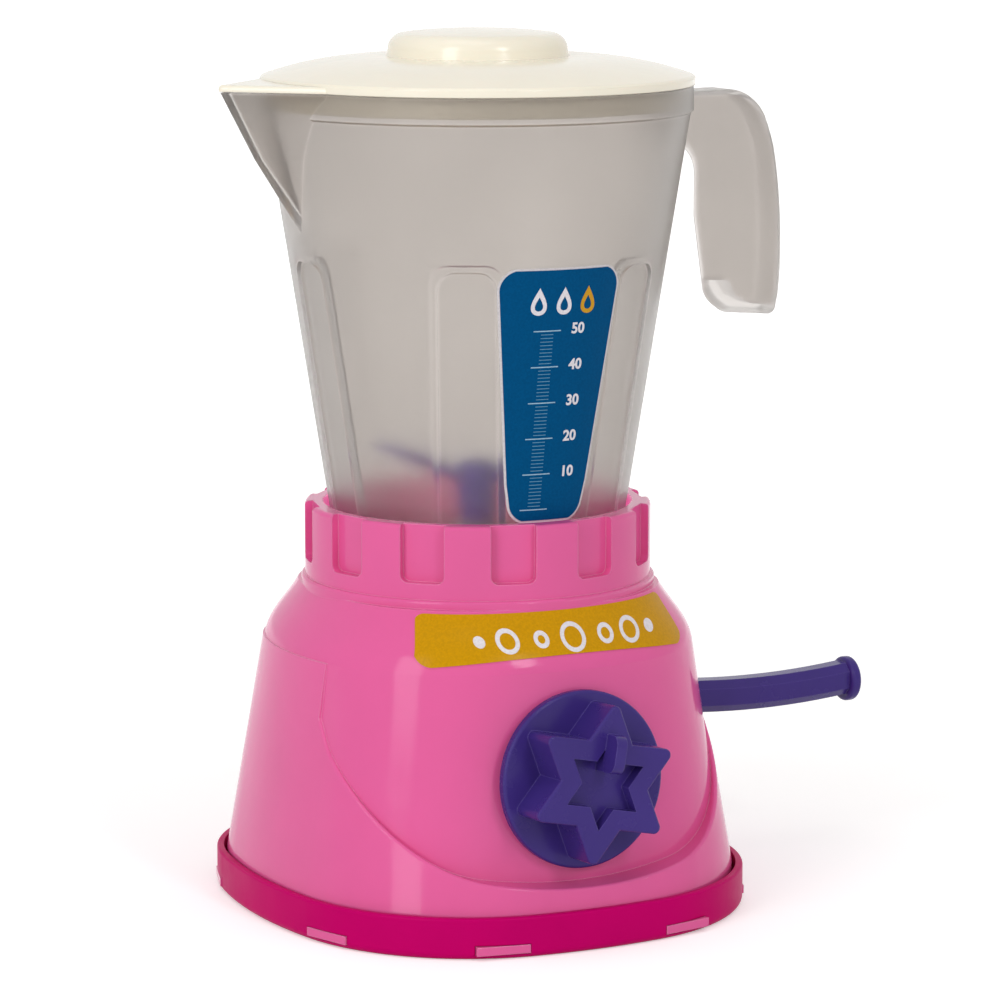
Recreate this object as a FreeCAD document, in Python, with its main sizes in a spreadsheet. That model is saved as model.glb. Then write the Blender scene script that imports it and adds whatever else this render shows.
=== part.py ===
import FreeCAD, Part

import math
import os
import re

import Sketcher
from FreeCAD import Placement, Rotation, Vector

# A hand-worked toy blender, in millimetres. +Z is up and the knob faces -Y. The spout points to -X,
# and the jug's handle and the lever to +X. The origin is the middle of the tray's underside.

os.makedirs("parts", exist_ok=True)
doc = FreeCAD.newDocument("ToyBlender")

SIZES = (
    # alias, value, meaning
    ("wall_base", 2.2, "wall of the base shell"),
    ("run_gap", 0.06, "radial clearance of a shaft in its bearing"),
    ("face_gap", 0.3, "clearance between faces that move past each other"),
    ("plan_side_radius", 150.0, "base plan: radius of the bowed sides"),
    ("plan_corner_radius", 56.0, "base plan: radius of the corners"),
    ("tray_half_x", 70.0, "tray: half width, side to side"),
    ("tray_half_y", 75.0, "tray: half width, front to back"),
    ("tray_height", 11.5, "tray: height of the rim"),
    ("tray_wall", 2.0, "tray: wall"),
    ("tray_floor", 1.2, "tray: floor"),
    ("tray_edge_radius", 2.2, "tray: rounding of the bottom edge"),
    ("tab_width", 15.0, "snap tab: width"),
    ("tab_low", 1.5, "snap tab: height of its underside"),
    ("tab_height", 2.4, "snap tab: height"),
    ("tab_gap", 0.15, "snap tab: gap round it in the tray's window"),
    ("tab_front_x", 28.4, "snap tabs, front and back: place across"),
    ("tab_side_y", 37.0, "snap tabs, sides: place front to back"),
    ("foot_half_x", 67.4, "skirt foot: half width, side to side"),
    ("foot_half_y", 72.4, "skirt foot: half width, front to back"),
    ("foot_low", 1.2, "skirt foot: height of its lower edge"),
    ("skirt_top_z", 74.5, "skirt: height of its upper edge"),
    ("skirt_top_half", 59.2, "skirt: half width at the upper edge"),
    ("core_top_half", 58.7, "core: half width at the foot of the shoulder"),
    ("core_low_z", 12.0, "core: lowest section"),
    ("core_low_half_x", 65.6, "core: half width there, side to side"),
    ("core_low_half_y", 63.0, "core: half width there, front to back"),
    ("core_side_radius", 170.0, "core: radius of the bowed sides there"),
    ("core_corner_radius", 44.0, "core: radius of the corners there"),
    ("round_side_radius", 80.0, "nearly round plan: radius of the bowed sides"),
    ("round_corner_radius", 47.0, "nearly round plan: radius of the corners"),
    ("panel_half_width", 57.5, "front panel: half width of its U"),
    ("panel_low_z", 17.0, "front panel: lowest point of its U"),
    ("panel_bottom_radius", 170.0, "front panel: radius of the U's bottom"),
    ("panel_corner_radius", 34.0, "front panel: radius of the U's corners"),
    ("shoulder_low_z", 78.5, "shoulder: height of the second section"),
    ("shoulder_low_half", 57.4, "shoulder: half width there"),
    ("shoulder_mid_z", 83.0, "shoulder: height of the third section"),
    ("shoulder_mid_half", 54.6, "shoulder: half width there"),
    ("shoulder_top_z", 90.5, "shoulder: height of its top"),
    ("shoulder_top_half", 49.4, "shoulder: half width there"),
    ("ring_radius", 49.9, "ledge ring under the collar: radius"),
    ("ring_low_z", 88.5, "ledge ring: underside"),
    ("ring_top_z", 92.8, "ledge ring: top"),
    ("collar_radius", 48.8, "collar: radius of the lands"),
    ("collar_top_z", 113.3, "collar: top edge"),
    ("collar_mouth_radius", 42.9, "collar: inner radius at the top"),
    ("collar_seat_radius", 40.1, "collar: inner radius at the deck"),
    ("collar_under_radius", 44.0, "collar: inner radius under the deck"),
    ("notch_count", 12.0, "collar: number of notches"),
    ("notch_half_width", 6.3, "collar notch: half width"),
    ("notch_floor", 46.0, "collar notch: distance of its floor from the axis"),
    ("notch_low_z", 97.3, "collar notch: lower edge"),
    ("notch_corner", 2.2, "collar notch: rounding of the lower corners"),
    ("deck_top_z", 95.5, "deck in the collar: top"),
    ("deck_low_z", 92.5, "deck in the collar: underside"),
    ("hub_radius", 9.0, "spindle bearing under the deck: outer radius"),
    ("hub_low_z", 84.0, "spindle bearing under the deck: lower end"),
    ("post_x", 33.0, "screw post: place across"),
    ("post_y", 26.0, "screw post: place front to back"),
    ("post_radius", 4.0, "screw post: radius"),
    ("screw_radius", 1.5, "self-tapping screws: radius"),
    ("slot_half_width", 19.5, "lever slot: half width"),
    ("slot_low_z", 44.0, "lever slot: lower edge"),
    ("slot_high_z", 55.6, "lever slot: upper edge"),
    ("slot_corner", 3.0, "lever slot: rounding of its corners"),
    ("plate_low_z", 38.0, "mechanism plate: underside"),
    ("plate_top_z", 41.0, "mechanism plate: top"),
    ("plate_half_x", 39.0, "mechanism plate: half width across"),
    ("plate_half_y", 32.0, "mechanism plate: half width front to back"),
    ("plate_corner", 6.0, "mechanism plate: rounding of the corners"),
    ("pivot_x", 30.0, "lever post: distance from the spindle"),
    ("pivot_radius", 4.0, "lever post: radius"),
    ("pivot_top_z", 56.3, "lever post: top"),
    ("gear_module", 1.5, "gears: module"),
    ("pinion_teeth", 10.0, "pinion: teeth"),
    ("sector_teeth", 30.0, "gear sector: teeth on its full circle"),
    ("sector_cut_teeth", 7.0, "gear sector: teeth that are there"),
    ("pinion_addendum", 1.2, "pinion: height of its teeth above the pitch circle"),
    ("sector_addendum", 0.9, "gear sector: height of its teeth above the pitch circle"),
    ("gear_dedendum", 1.9, "gears: depth of the teeth below the pitch circle"),
    ("gear_backlash", 0.3, "gears: backlash at the pitch circle"),
    ("gear_low_z", 43.6, "gears: underside"),
    ("gear_height", 6.6, "gears: height"),
    ("spindle_radius", 5.0, "spindle: radius in the deck's bearing"),
    ("spindle_foot_radius", 4.0, "spindle: radius in the plate's bearing"),
    ("spindle_low_z", 35.4, "spindle: lower end"),
    ("clip_groove_radius", 3.2, "spindle: radius in the clip's groove"),
    ("clip_groove_low", 36.6, "spindle: lower edge of the clip's groove"),
    ("clip_groove_high", 37.6, "spindle: upper edge of the clip's groove"),
    ("nose_across", 8.0, "drive nose: width across flats"),
    ("socket_across", 8.6, "blade coupling: width across flats of its socket"),
    ("nose_top_z", 101.4, "drive nose: top"),
    ("lever_hub_radius", 7.5, "lever: radius of its hub"),
    ("lever_hub_top_z", 56.0, "lever: top of its hub"),
    ("lever_half_width", 4.6, "lever: half width of the arm"),
    ("lever_half_height", 4.7, "lever: half height of the arm"),
    ("lever_z", 49.8, "lever: height of the level part"),
    ("lever_bend_x", 72.0, "lever: where the arm starts to sweep upwards"),
    ("lever_sweep", 270.0, "lever: radius of the sweep"),
    ("lever_tip_x", 121.0, "lever: where the arm meets the flange"),
    ("lever_tip_z", 50.6, "lever: height of the arm at the flange"),
    ("lever_chamfer", 2.2, "lever: chamfer along the arm"),
    ("flange_radius", 6.6, "lever: radius of the end flange"),
    ("flange_thickness", 3.4, "lever: thickness of the end flange"),
    ("knob_z", 45.0, "knob: height of its axis at the panel"),
    ("knob_lift", 0.8, "knob: gap between disc and panel"),
    ("knob_radius", 24.4, "knob: radius of the disc"),
    ("knob_disc", 2.6, "knob: thickness of the disc"),
    ("star_radius", 23.4, "knob: star boss, centre to tip"),
    ("star_height", 12.4, "knob: star boss, height"),
    ("star_tip_radius", 1.8, "knob: rounding of the tips"),
    ("recess_radius", 12.4, "knob: star recess, centre to tip"),
    ("recess_depth", 4.0, "knob: star recess, depth"),
    ("star_turn", 11.4, "knob: clockwise turn of the star, in degrees"),
    ("pointer_in", 3.6, "knob: pointer tab, nearest point to the axis"),
    ("pointer_out", 14.0, "knob: pointer tab, farthest point from the axis"),
    ("pointer_half", 1.6, "knob: pointer tab, half thickness"),
    ("pointer_proud", 6.2, "knob: pointer tab, height above the star"),
    ("knob_shaft_radius", 5.0, "knob: shaft"),
    ("knob_boss_radius", 9.0, "panel boss behind the knob: radius"),
    ("knob_boss_depth", 7.2, "panel boss behind the knob: depth from the panel's face"),
    ("jug_slope", 0.158, "jug: growth of the radius with height"),
    ("jug_foot_z", 95.8, "jug: foot"),
    ("jug_foot_radius", 39.3, "jug: radius at the foot"),
    ("jug_wall", 1.8, "jug: wall"),
    ("jug_floor_low_z", 103.4, "jug: underside of the floor"),
    ("jug_floor_top_z", 105.4, "jug: top of the floor"),
    ("band_low_z", 222.5, "jug: lower edge of the rim band"),
    ("band_radius", 60.1, "jug: radius of the rim band"),
    ("jug_top_z", 230.0, "jug: rim"),
    ("flute_count", 6.0, "jug: number of flutes"),
    ("flute_half_width", 8.0, "jug flute: half width"),
    ("flute_depth", 1.7, "jug flute: depth"),
    ("flute_length", 88.3, "jug flute: length up the wall from the foot"),
    ("flute_corner", 5.0, "jug flute: rounding of the upper corners"),
    ("spout_tip_x", 78.0, "spout: distance of the tip from the axis"),
    ("spout_base_x", 56.5, "spout: where its sides leave the rim"),
    ("spout_base_y", 21.7, "spout: half width there"),
    ("spout_mid_z", 211.5, "spout: height half way down"),
    ("spout_mid_x", 68.0, "spout: distance of its crease from the axis there"),
    ("spout_low_z", 191.0, "spout: lower end of its crease"),
    ("handle_half_width", 6.6, "handle: half width of the channel"),
    ("handle_wall", 1.3, "handle: wall"),
    ("handle_edge_radius", 1.5, "handle: rounding of its outer edges"),
    ("handle_skew", 31.0, "handle: lean of its inner side in plan, in degrees"),
    ("bush_flange_radius", 6.4, "blade bush: radius of its flange"),
    ("bush_top_z", 106.0, "blade bush: top of its flange"),
    ("bush_radius", 5.0, "blade bush: outer radius"),
    ("blade_shaft_radius", 2.4, "blade coupling: radius of its shaft"),
    ("blade_shaft_top_z", 118.0, "blade coupling: top of its shaft"),
    ("cup_radius", 8.5, "blade coupling: radius of the cup"),
    ("cup_low_z", 96.2, "blade coupling: lower edge of the cup"),
    ("cup_top_z", 103.1, "blade coupling: top of the cup"),
    ("socket_depth", 5.7, "blade coupling: depth of the socket"),
    ("blade_low_z", 106.9, "blade: underside of the hub"),
    ("blade_hub_radius", 6.0, "blade: greatest radius of the hub"),
    ("blade_top_z", 124.5, "blade: top of the hub"),
    ("blade_length", 28.5, "blade: axis to tip"),
    ("blade_turn", 153.0, "blade: direction of one arm at rest, in degrees"),
    ("lid_radius", 60.6, "lid: radius of the rim"),
    ("lid_wall", 1.8, "lid: wall"),
    ("lid_rim_low_z", 230.3, "lid: underside of the rim"),
    ("lid_rim_top_z", 232.8, "lid: top of the rim"),
    ("dome_top_z", 238.0, "lid: dome at the foot of the cap"),
    ("dome_radius", 95.0, "lid: radius of the dome's profile"),
    ("cap_radius", 25.5, "lid: radius of the cap"),
    ("cap_top_z", 245.4, "lid: top of the cap"),
    ("cap_edge_radius", 5.0, "lid: rounding of the cap's edge"),
    ("plug_radius", 58.2, "lid: radius of the plug under the rim"),
    ("plug_depth", 6.0, "lid: depth of the plug in the jug"),
    ("cover_thickness", 1.8, "lid: thickness of the plate over the spout"),
    ("label_thickness", 0.25, "stickers: thickness"),
)

dims = doc.addObject("Spreadsheet::Sheet", "Dims")
for row, (alias, number, meaning) in enumerate(SIZES, start=1):
    dims.set(f"A{row}", meaning)
    dims.set(f"B{row}", str(number))
    dims.setAlias(f"B{row}", alias)
doc.recompute()


# ---------------------------------------------------------------- expressions, sketches and features

def formula(text):
    """Write each alias in the text the way the document's expressions name it."""
    return re.sub(r"\b([a-z]+(?:_[a-z]+)+)\b", r"Dims.\1", text)


def value(text):
    return float(dims.evalExpression(formula(text)))


def bind(item, **sizes):
    """Bind properties to the sheet; a double underscore in a name stands for a dot."""
    for name, text in sizes.items():
        item.setExpression(name.replace("__", "."), formula(text))
    return item


def new_body(label):
    body = doc.addObject("PartDesign::Body", label)
    body.Label = label
    return body


def origin_part(body, role):
    return next(item for item in body.Origin.OriginFeatures if item.Role == role)


def new_sketch(body, name, role="XY_Plane", offset="0"):
    """Sketch on one of the body's own planes: XY faces up, XZ faces the front, YZ faces +X."""
    sketch = body.newObject("Sketcher::SketchObject", name)
    sketch.AttachmentSupport = [(origin_part(body, role), "")]
    sketch.MapMode = "FlatFace"
    bind(sketch, AttachmentOffset__Base__z=offset)
    return sketch


def loose_sketch(name, height="0", upright=False):
    """Sketch outside any body, level at a height or upright in the XZ plane."""
    sketch = doc.addObject("Sketcher::SketchObject", name)
    if upright:
        sketch.Placement = Placement(Vector(), Rotation(Vector(1, 0, 0), 90))
    else:
        bind(sketch, Placement__Base__z=height)
    return sketch


def tie(sketch, kind, geometry, point, text):
    """Hold one coordinate of a point at a sheet expression."""
    number = value(text)
    if abs(number) < 1e-9:
        axis = -2 if kind == "DistanceX" else -1
        sketch.addConstraint(Sketcher.Constraint("PointOnObject", geometry, point, axis))
        return
    index = sketch.addConstraint(Sketcher.Constraint(kind, -1, 1, geometry, point, number))
    sketch.setExpression(f"Constraints[{index}]", formula(text))


def arc_from(centre, radius, start, end):
    return Part.ArcOfCircle(Part.Circle(centre, Vector(0, 0, 1), radius), start, end)


def bulge(start, end, radius):
    """Arc between two points: a positive radius bulges to the right of the way from start to end."""
    chord = end - start
    left = Vector(-chord.y, chord.x, 0) / chord.Length
    reach = math.sqrt(radius ** 2 - (chord.Length / 2) ** 2)
    centre = (start + end) / 2 + left * (reach if radius > 0 else -reach)
    first, last = (start, end) if radius > 0 else (end, start)
    angles = [math.atan2(p.y - centre.y, p.x - centre.x) for p in (first, last)]
    if angles[1] < angles[0]:
        angles[1] += 2 * math.pi
    return arc_from(centre, abs(radius), *angles)


def outline(sketch, corners, arcs=None):
    """Closed outline through corners given as pairs of sheet expressions.

    arcs maps the index of a corner to the radius of the arc that leaves it, as bulge() reads it.
    """
    arcs = arcs or {}
    places = [Vector(value(x), value(y), 0) for x, y in corners]
    first = sketch.GeometryCount
    ends = []
    for index, start in enumerate(places):
        end = places[(index + 1) % len(places)]
        if index in arcs:
            radius = value(arcs[index])
            geometry = sketch.addGeometry(bulge(start, end, radius), False)
            ends.append((1, 2) if radius > 0 else (2, 1))
            held = sketch.addConstraint(Sketcher.Constraint("Radius", geometry, abs(radius)))
            sketch.setExpression(f"Constraints[{held}]", "abs(" + formula(arcs[index]) + ")")
        else:
            sketch.addGeometry(Part.LineSegment(start, end), False)
            ends.append((1, 2))
    for index, (x, y) in enumerate(corners):
        following = (index + 1) % len(places)
        sketch.addConstraint(Sketcher.Constraint(
            "Coincident", first + index, ends[index][1], first + following, ends[following][0]))
        tie(sketch, "DistanceX", first + index, ends[index][0], x)
        tie(sketch, "DistanceY", first + index, ends[index][0], y)


def circle(sketch, radius, x="0", y="0"):
    centre = Vector(value(x), value(y), 0)
    geometry = sketch.addGeometry(Part.Circle(centre, Vector(0, 0, 1), value(radius)), False)
    tie(sketch, "DistanceX", geometry, 3, x)
    tie(sketch, "DistanceY", geometry, 3, y)
    held = sketch.addConstraint(Sketcher.Constraint("Radius", geometry, value(radius)))
    sketch.setExpression(f"Constraints[{held}]", formula(radius))


def polygon(sketch, points):
    """Closed run of straight edges through worked-out points."""
    first = sketch.GeometryCount
    for index, start in enumerate(points):
        sketch.addGeometry(Part.LineSegment(start, points[(index + 1) % len(points)]), False)
    for index in range(len(points)):
        following = first + (index + 1) % len(points)
        sketch.addConstraint(Sketcher.Constraint("Coincident", first + index, 2, following, 1))
        sketch.addConstraint(Sketcher.Constraint("Block", first + index))


def plan(sketch, half_x, half_y, side_radius, corner_radius):
    """Bowed square: four side arcs centred on the axes, joined by four tangent corner arcs."""
    a, b, side, corner = (value(text) for text in (half_x, half_y, side_radius, corner_radius))
    reach = side - corner
    lift = Vector(side - a, side - b, 0)
    # The corner's centre is at the same reach from (a - side, 0) and from (0, b - side).
    span = lift.Length / 2
    across = math.sqrt(reach ** 2 - span ** 2)
    corner_centre = Vector(-lift.x / 2, -lift.y / 2, 0) + Vector(lift.y, lift.x, 0) / (2 * span) * across
    side_angle = math.atan2(corner_centre.y, corner_centre.x + lift.x)
    end_angle = math.atan2(corner_centre.x, corner_centre.y + lift.y)
    quarter = math.pi / 2
    right = [Vector(-lift.x, 0, 0), -side_angle, side_angle]
    back = [Vector(0, -lift.y, 0), quarter - end_angle, quarter + end_angle]
    arcs = []
    for turn, (x_sign, y_sign) in enumerate(((1, 1), (-1, 1), (-1, -1), (1, -1))):
        centre, start, end = right if turn % 2 == 0 else back
        flip = 1 if turn < 2 else -1
        arcs.append((centre * flip, side, start + (turn // 2) * math.pi, end + (turn // 2) * math.pi))
        low = side_angle if turn % 2 == 0 else end_angle
        high = quarter - (end_angle if turn % 2 == 0 else side_angle)
        place = Vector(corner_centre.x * x_sign, corner_centre.y * y_sign, 0)
        arcs.append((place, corner, turn * quarter + low, turn * quarter + high))
    for centre, radius, start, end in arcs:
        sketch.addGeometry(arc_from(centre, radius, start, end), False)
    for index in range(len(arcs)):
        following = (index + 1) % len(arcs)
        sketch.addConstraint(Sketcher.Constraint("Tangent", index, 2, following, 1))
    offsets = ((half_x, 1), (half_y, 1), (half_x, -1), (half_y, -1))
    for turn, (half, sign) in enumerate(offsets):
        shift = f"{sign} * ({half} - ({side_radius}))"
        tie(sketch, "DistanceX", 2 * turn, 3, shift if turn % 2 == 0 else "0")
        tie(sketch, "DistanceY", 2 * turn, 3, "0" if turn % 2 == 0 else shift)
        for geometry, text in ((2 * turn, side_radius), (2 * turn + 1, corner_radius)):
            held = sketch.addConstraint(Sketcher.Constraint("Radius", geometry, value(text)))
            sketch.setExpression(f"Constraints[{held}]", formula(text))


def extrude(body, sketch, name, length=None, kind="Pad", both=False, flip=False):
    """Pad or Pocket of a sketch; with no length a pocket goes right through."""
    feature = body.newObject("PartDesign::" + kind, name)
    feature.Profile = sketch
    if length is None:
        feature.Type = "ThroughAll"
    else:
        bind(feature, Length=length)
    if both:
        feature.SideType = "Symmetric"
    feature.Reversed = flip
    sketch.Visibility = False
    doc.recompute()
    return feature


def revolve(body, name, corners, arcs=None, kind="Revolution"):
    """Revolution or Groove about Z of a profile of (radius, height) corners."""
    sketch = new_sketch(body, name + "Profile", "XZ_Plane")
    outline(sketch, corners, arcs)
    feature = body.newObject("PartDesign::" + kind, name)
    feature.Profile = sketch
    feature.ReferenceAxis = (sketch, ["V_Axis"])
    feature.Angle = 360
    doc.recompute()
    return feature


def pattern(body, feature, name, count, angle="360"):
    """Repeat a feature about Z."""
    copies = body.newObject("PartDesign::PolarPattern", name)
    copies.Originals = [feature]
    copies.Axis = (origin_part(body, "Z_Axis"), [""])
    bind(copies, Occurrences=count, Angle=angle)
    body.Tip = copies
    doc.recompute()
    return copies


def edges_where(feature, test):
    return [f"Edge{n}" for n, edge in enumerate(feature.Shape.Edges, start=1) if test(edge)]


def soften(body, feature, name, test, size, kind="Fillet"):
    """Fillet or chamfer the edges of a feature that pass the test."""
    rounded = body.newObject("PartDesign::" + kind, name)
    rounded.Base = (feature, edges_where(feature, test))
    bind(rounded, **{"Radius" if kind == "Fillet" else "Size": size})
    doc.recompute()
    return rounded


def level_edge(height, least_radius=0.0, most_radius=1e9):
    """Test for edges that lie level at a height, between two distances from the Z axis."""
    z = value(height)

    def test(edge):
        box = edge.BoundBox
        if abs(box.ZMin - z) > 0.01 or abs(box.ZMax - z) > 0.01:
            return False
        middle = edge.valueAt((edge.FirstParameter + edge.LastParameter) / 2)
        return least_radius <= math.hypot(middle.x, middle.y) <= most_radius

    return test


def loft(name, sections, ruled=True):
    solid = doc.addObject("Part::Loft", name)
    solid.Sections = sections
    solid.Solid = True
    solid.Ruled = ruled
    return solid


def fuse(name, *items):
    joined = doc.addObject("Part::MultiFuse", name)
    joined.Shapes = list(items)
    return joined


def cut(name, base, tool):
    left = doc.addObject("Part::Cut", name)
    left.Base = base
    left.Tool = tool
    return left


def common(name, *items):
    shared = doc.addObject("Part::MultiCommon", name)
    shared.Shapes = list(items)
    return shared


def cylinder(name, radius, low, high, x="0", y="0"):
    rod = doc.addObject("Part::Cylinder", name)
    bind(rod, Radius=radius, Height=f"({high}) - ({low})")
    return bind(rod, Placement__Base__x=x, Placement__Base__y=y, Placement__Base__z=low)


def prism(name, sketch, forward, back="0"):
    """Extrusion of a loose sketch along its normal and against it."""
    solid = doc.addObject("Part::Extrusion", name)
    solid.Base = sketch
    solid.DirMode = "Normal"
    solid.Solid = True
    return bind(solid, LengthFwd=forward, LengthRev=back)


# ---------------------------------------------------------------- tray

def tab_rectangles(sketch, half_width, inner, outer):
    """Eight rectangles across the foot of the base, square to its outline, where the tabs snap in.

    inner and outer are distances from the tray's outer face, measured inwards.
    """
    half_x, half_y = value("tray_half_x"), value("tray_half_y")
    side = value("plan_side_radius")
    front_x, side_y = value("tab_front_x"), value("tab_side_y")
    front_angle = math.asin(front_x / side)
    front_y = half_y - side + side * math.cos(front_angle)
    corner_tilt = math.radians(19.0)
    places = []
    for x_sign in (1, -1):
        for y_sign in (1, -1):
            normal = Vector(math.sin(front_angle) * x_sign, math.cos(front_angle) * y_sign, 0)
            places.append((Vector(front_x * x_sign, front_y * y_sign, 0), normal))
            normal = Vector(math.cos(corner_tilt) * x_sign, math.sin(corner_tilt) * y_sign, 0)
            places.append((Vector((half_x - 5.0) * x_sign, side_y * y_sign, 0), normal))
    for place, normal in places:
        along = Vector(-normal.y, normal.x, 0) * half_width
        near, far = place - normal * inner, place - normal * outer
        polygon(sketch, [near - along, far - along, far + along, near + along])


def make_bottom_tray():
    body = new_body("bottom_tray")
    block = new_sketch(body, "TrayOutline")
    plan(block, "tray_half_x", "tray_half_y", "plan_side_radius", "plan_corner_radius")
    rim = extrude(body, block, "TrayBlock", "tray_height")
    soft = soften(body, rim, "TrayEdge", level_edge("0"), "tray_edge_radius")
    soft = soften(body, soft, "TrayLip", level_edge("tray_height"), "0.7")
    inside = new_sketch(body, "TrayInside", offset="tray_floor")
    plan(inside, "tray_half_x - tray_wall", "tray_half_y - tray_wall",
         "plan_side_radius - tray_wall", "plan_corner_radius - tray_wall")
    extrude(body, inside, "TrayHollow", "tray_height", kind="Pocket", flip=True)
    windows = new_sketch(body, "TrayWindows", offset="tab_low - tab_gap")
    tab_rectangles(windows, value("tab_width / 2 + tab_gap"), 4.0, -2.0)
    extrude(body, windows, "TrayTabWindows", "tab_height + 2 * tab_gap", kind="Pocket", flip=True)
    return body


# ---------------------------------------------------------------- base shell

def foot_section(name, height, inset="0"):
    sketch = loose_sketch(name, height)
    plan(sketch, f"foot_half_x - ({inset})", f"foot_half_y - ({inset})",
         f"plan_side_radius - ({inset})", f"plan_corner_radius - ({inset})")
    return sketch


def round_section(name, height, half, inset="0"):
    """Nearly round section of the upper base."""
    sketch = loose_sketch(name, height)
    plan(sketch, f"{half} - ({inset})", f"{half} - ({inset})",
         f"({half}) * round_side_radius / core_top_half - ({inset})",
         f"({half}) * round_corner_radius / core_top_half - ({inset})")
    return sketch


def skirt_solid(name, inset, low, top):
    """The skirt's outer form, or with an inset its inner face: upright foot, then a straight taper."""
    share = f"(skirt_top_z - ({top})) / (skirt_top_z - tray_height)"
    half = f"skirt_top_half + (foot_half_x - skirt_top_half) * {share}"
    return loft(name, [
        foot_section(name + "Foot", low, inset),
        foot_section(name + "Rim", "tray_height", inset),
        round_section(name + "Top", top, f"({half})", inset),
    ])


def core_solid(name, inset):
    """The core, whose front shows as the set-back panel."""
    low = loose_sketch(name + "Low", "core_low_z")
    plan(low, f"core_low_half_x - ({inset})", f"core_low_half_y - ({inset})",
         f"core_side_radius - ({inset})", f"core_corner_radius - ({inset})")
    return loft(name, [low, round_section(name + "Top", "skirt_top_z", "core_top_half", inset)])


def shoulder_solid(name, inset, steep_inset):
    """The shoulder, from the core's top up to the ledge ring."""
    return loft(name, [
        round_section(name + "Foot", "skirt_top_z", "core_top_half", inset),
        round_section(name + "Low", "shoulder_low_z", "shoulder_low_half", inset),
        round_section(name + "Mid", "shoulder_mid_z", "shoulder_mid_half", steep_inset),
        round_section(name + "Top", "shoulder_top_z", "shoulder_top_half", steep_inset),
    ], ruled=False)


def panel_prism(name, grow):
    """Upright prism whose U outline frees the front panel from the skirt; grow widens the U."""
    half = f"(panel_half_width + ({grow}))"
    corner = f"(panel_corner_radius + ({grow}))"
    bottom = f"(panel_bottom_radius + ({grow}))"
    # The corner arc is tangent to the upright side and to the bottom arc.
    across = f"({half} - {corner})"
    centre_z = f"(panel_low_z + panel_bottom_radius)"
    sine = f"({across} / ({bottom} - {corner}))"
    cosine = f"sqrt(1 - {sine} * {sine})"
    corner_z = f"({centre_z} - ({bottom} - {corner}) * {cosine})"
    touch_x = f"({bottom} * {sine})"
    touch_z = f"({centre_z} - {bottom} * {cosine})"
    sketch = loose_sketch(name + "Outline", upright=True)
    outline(sketch, [
        (f"-{touch_x}", touch_z), (touch_x, touch_z), (half, corner_z), (half, "skirt_top_z + 5"),
        (f"-{half}", "skirt_top_z + 5"), (f"-{half}", corner_z),
    ], {0: bottom, 1: corner, 5: corner})
    return prism(name, sketch, "90", "-20")


def make_collar():
    """Deck and collar in one: a turned ring with twelve notches cut into its outside."""
    body = new_body("collar_form")
    turned = revolve(body, "CollarRing", [
        ("spindle_radius + run_gap", "deck_low_z"), ("collar_under_radius", "deck_low_z"),
        ("collar_under_radius", "ring_low_z"), ("collar_radius", "ring_low_z"),
        ("collar_radius", "collar_top_z"), ("collar_mouth_radius", "collar_top_z"),
        ("collar_seat_radius", "deck_top_z"), ("spindle_radius + run_gap", "deck_top_z"),
    ])
    turned = soften(body, turned, "CollarEdge", level_edge("collar_top_z"), "1.2")
    notch = new_sketch(body, "NotchOutline", "XZ_Plane", "notch_floor")
    outline(notch, [
        ("-notch_half_width + notch_corner", "notch_low_z"),
        ("notch_half_width - notch_corner", "notch_low_z"),
        ("notch_half_width", "notch_low_z + notch_corner"),
        ("notch_half_width", "collar_top_z + 1"), ("-notch_half_width", "collar_top_z + 1"),
        ("-notch_half_width", "notch_low_z + notch_corner"),
    ], {1: "notch_corner", 5: "notch_corner"})
    first = extrude(body, notch, "Notch", "10", kind="Pocket", flip=True)
    pattern(body, first, "Notches", "notch_count")
    # A land, not a notch, faces the front.
    body.Placement = Placement(Vector(), Rotation(Vector(0, 0, 1), 180 / value("notch_count")))
    return body


PANEL_TILT = math.atan2(value("core_low_half_y - core_top_half"), value("skirt_top_z - core_low_z"))
PANEL_Y = -value("core_top_half + (core_low_half_y - core_top_half) * (skirt_top_z - knob_z)"
                 " / (skirt_top_z - core_low_z)")
KNOB_PLACEMENT = Placement(Vector(0, PANEL_Y, value("knob_z")),
                           Rotation(Vector(1, 0, 0), 90 - math.degrees(PANEL_TILT)))


def on_knob_axis(name, radius, low, high):
    """Cylinder on the knob's axis, between two distances from the panel's face."""
    rod = doc.addObject("Part::Cylinder", name)
    bind(rod, Radius=radius, Height=f"({high}) - ({low})")
    rod.Placement = KNOB_PLACEMENT.multiply(Placement(Vector(0, 0, value(low)), Rotation()))
    return rod


def post_places():
    return [(f"{x} * post_x", f"{y} * post_y") for x in (1, -1) for y in (1, -1)]


def borders_panel(edge):
    """Whether an edge of the skirt lies along the U that frees the panel, on the skirt's outer face."""
    box = edge.BoundBox
    point = edge.valueAt((edge.FirstParameter + edge.LastParameter) / 2)
    if point.y > -20.5 or max(box.XLength, box.ZLength) < 1:
        return False
    half, corner, bottom = (value("panel_" + part) for part in
                            ("half_width", "corner_radius", "bottom_radius"))
    centre_z = value("panel_low_z") + bottom
    corner_z = centre_z - math.sqrt((bottom - corner) ** 2 - (half - corner) ** 2)
    misses = (
        abs(point.x) - half if point.z > corner_z else 1.0,
        math.hypot(abs(point.x) - half + corner, point.z - corner_z) - corner,
        math.hypot(point.x, point.z - centre_z) - bottom,
    )
    return min(abs(miss) for miss in misses) < 0.02


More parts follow.
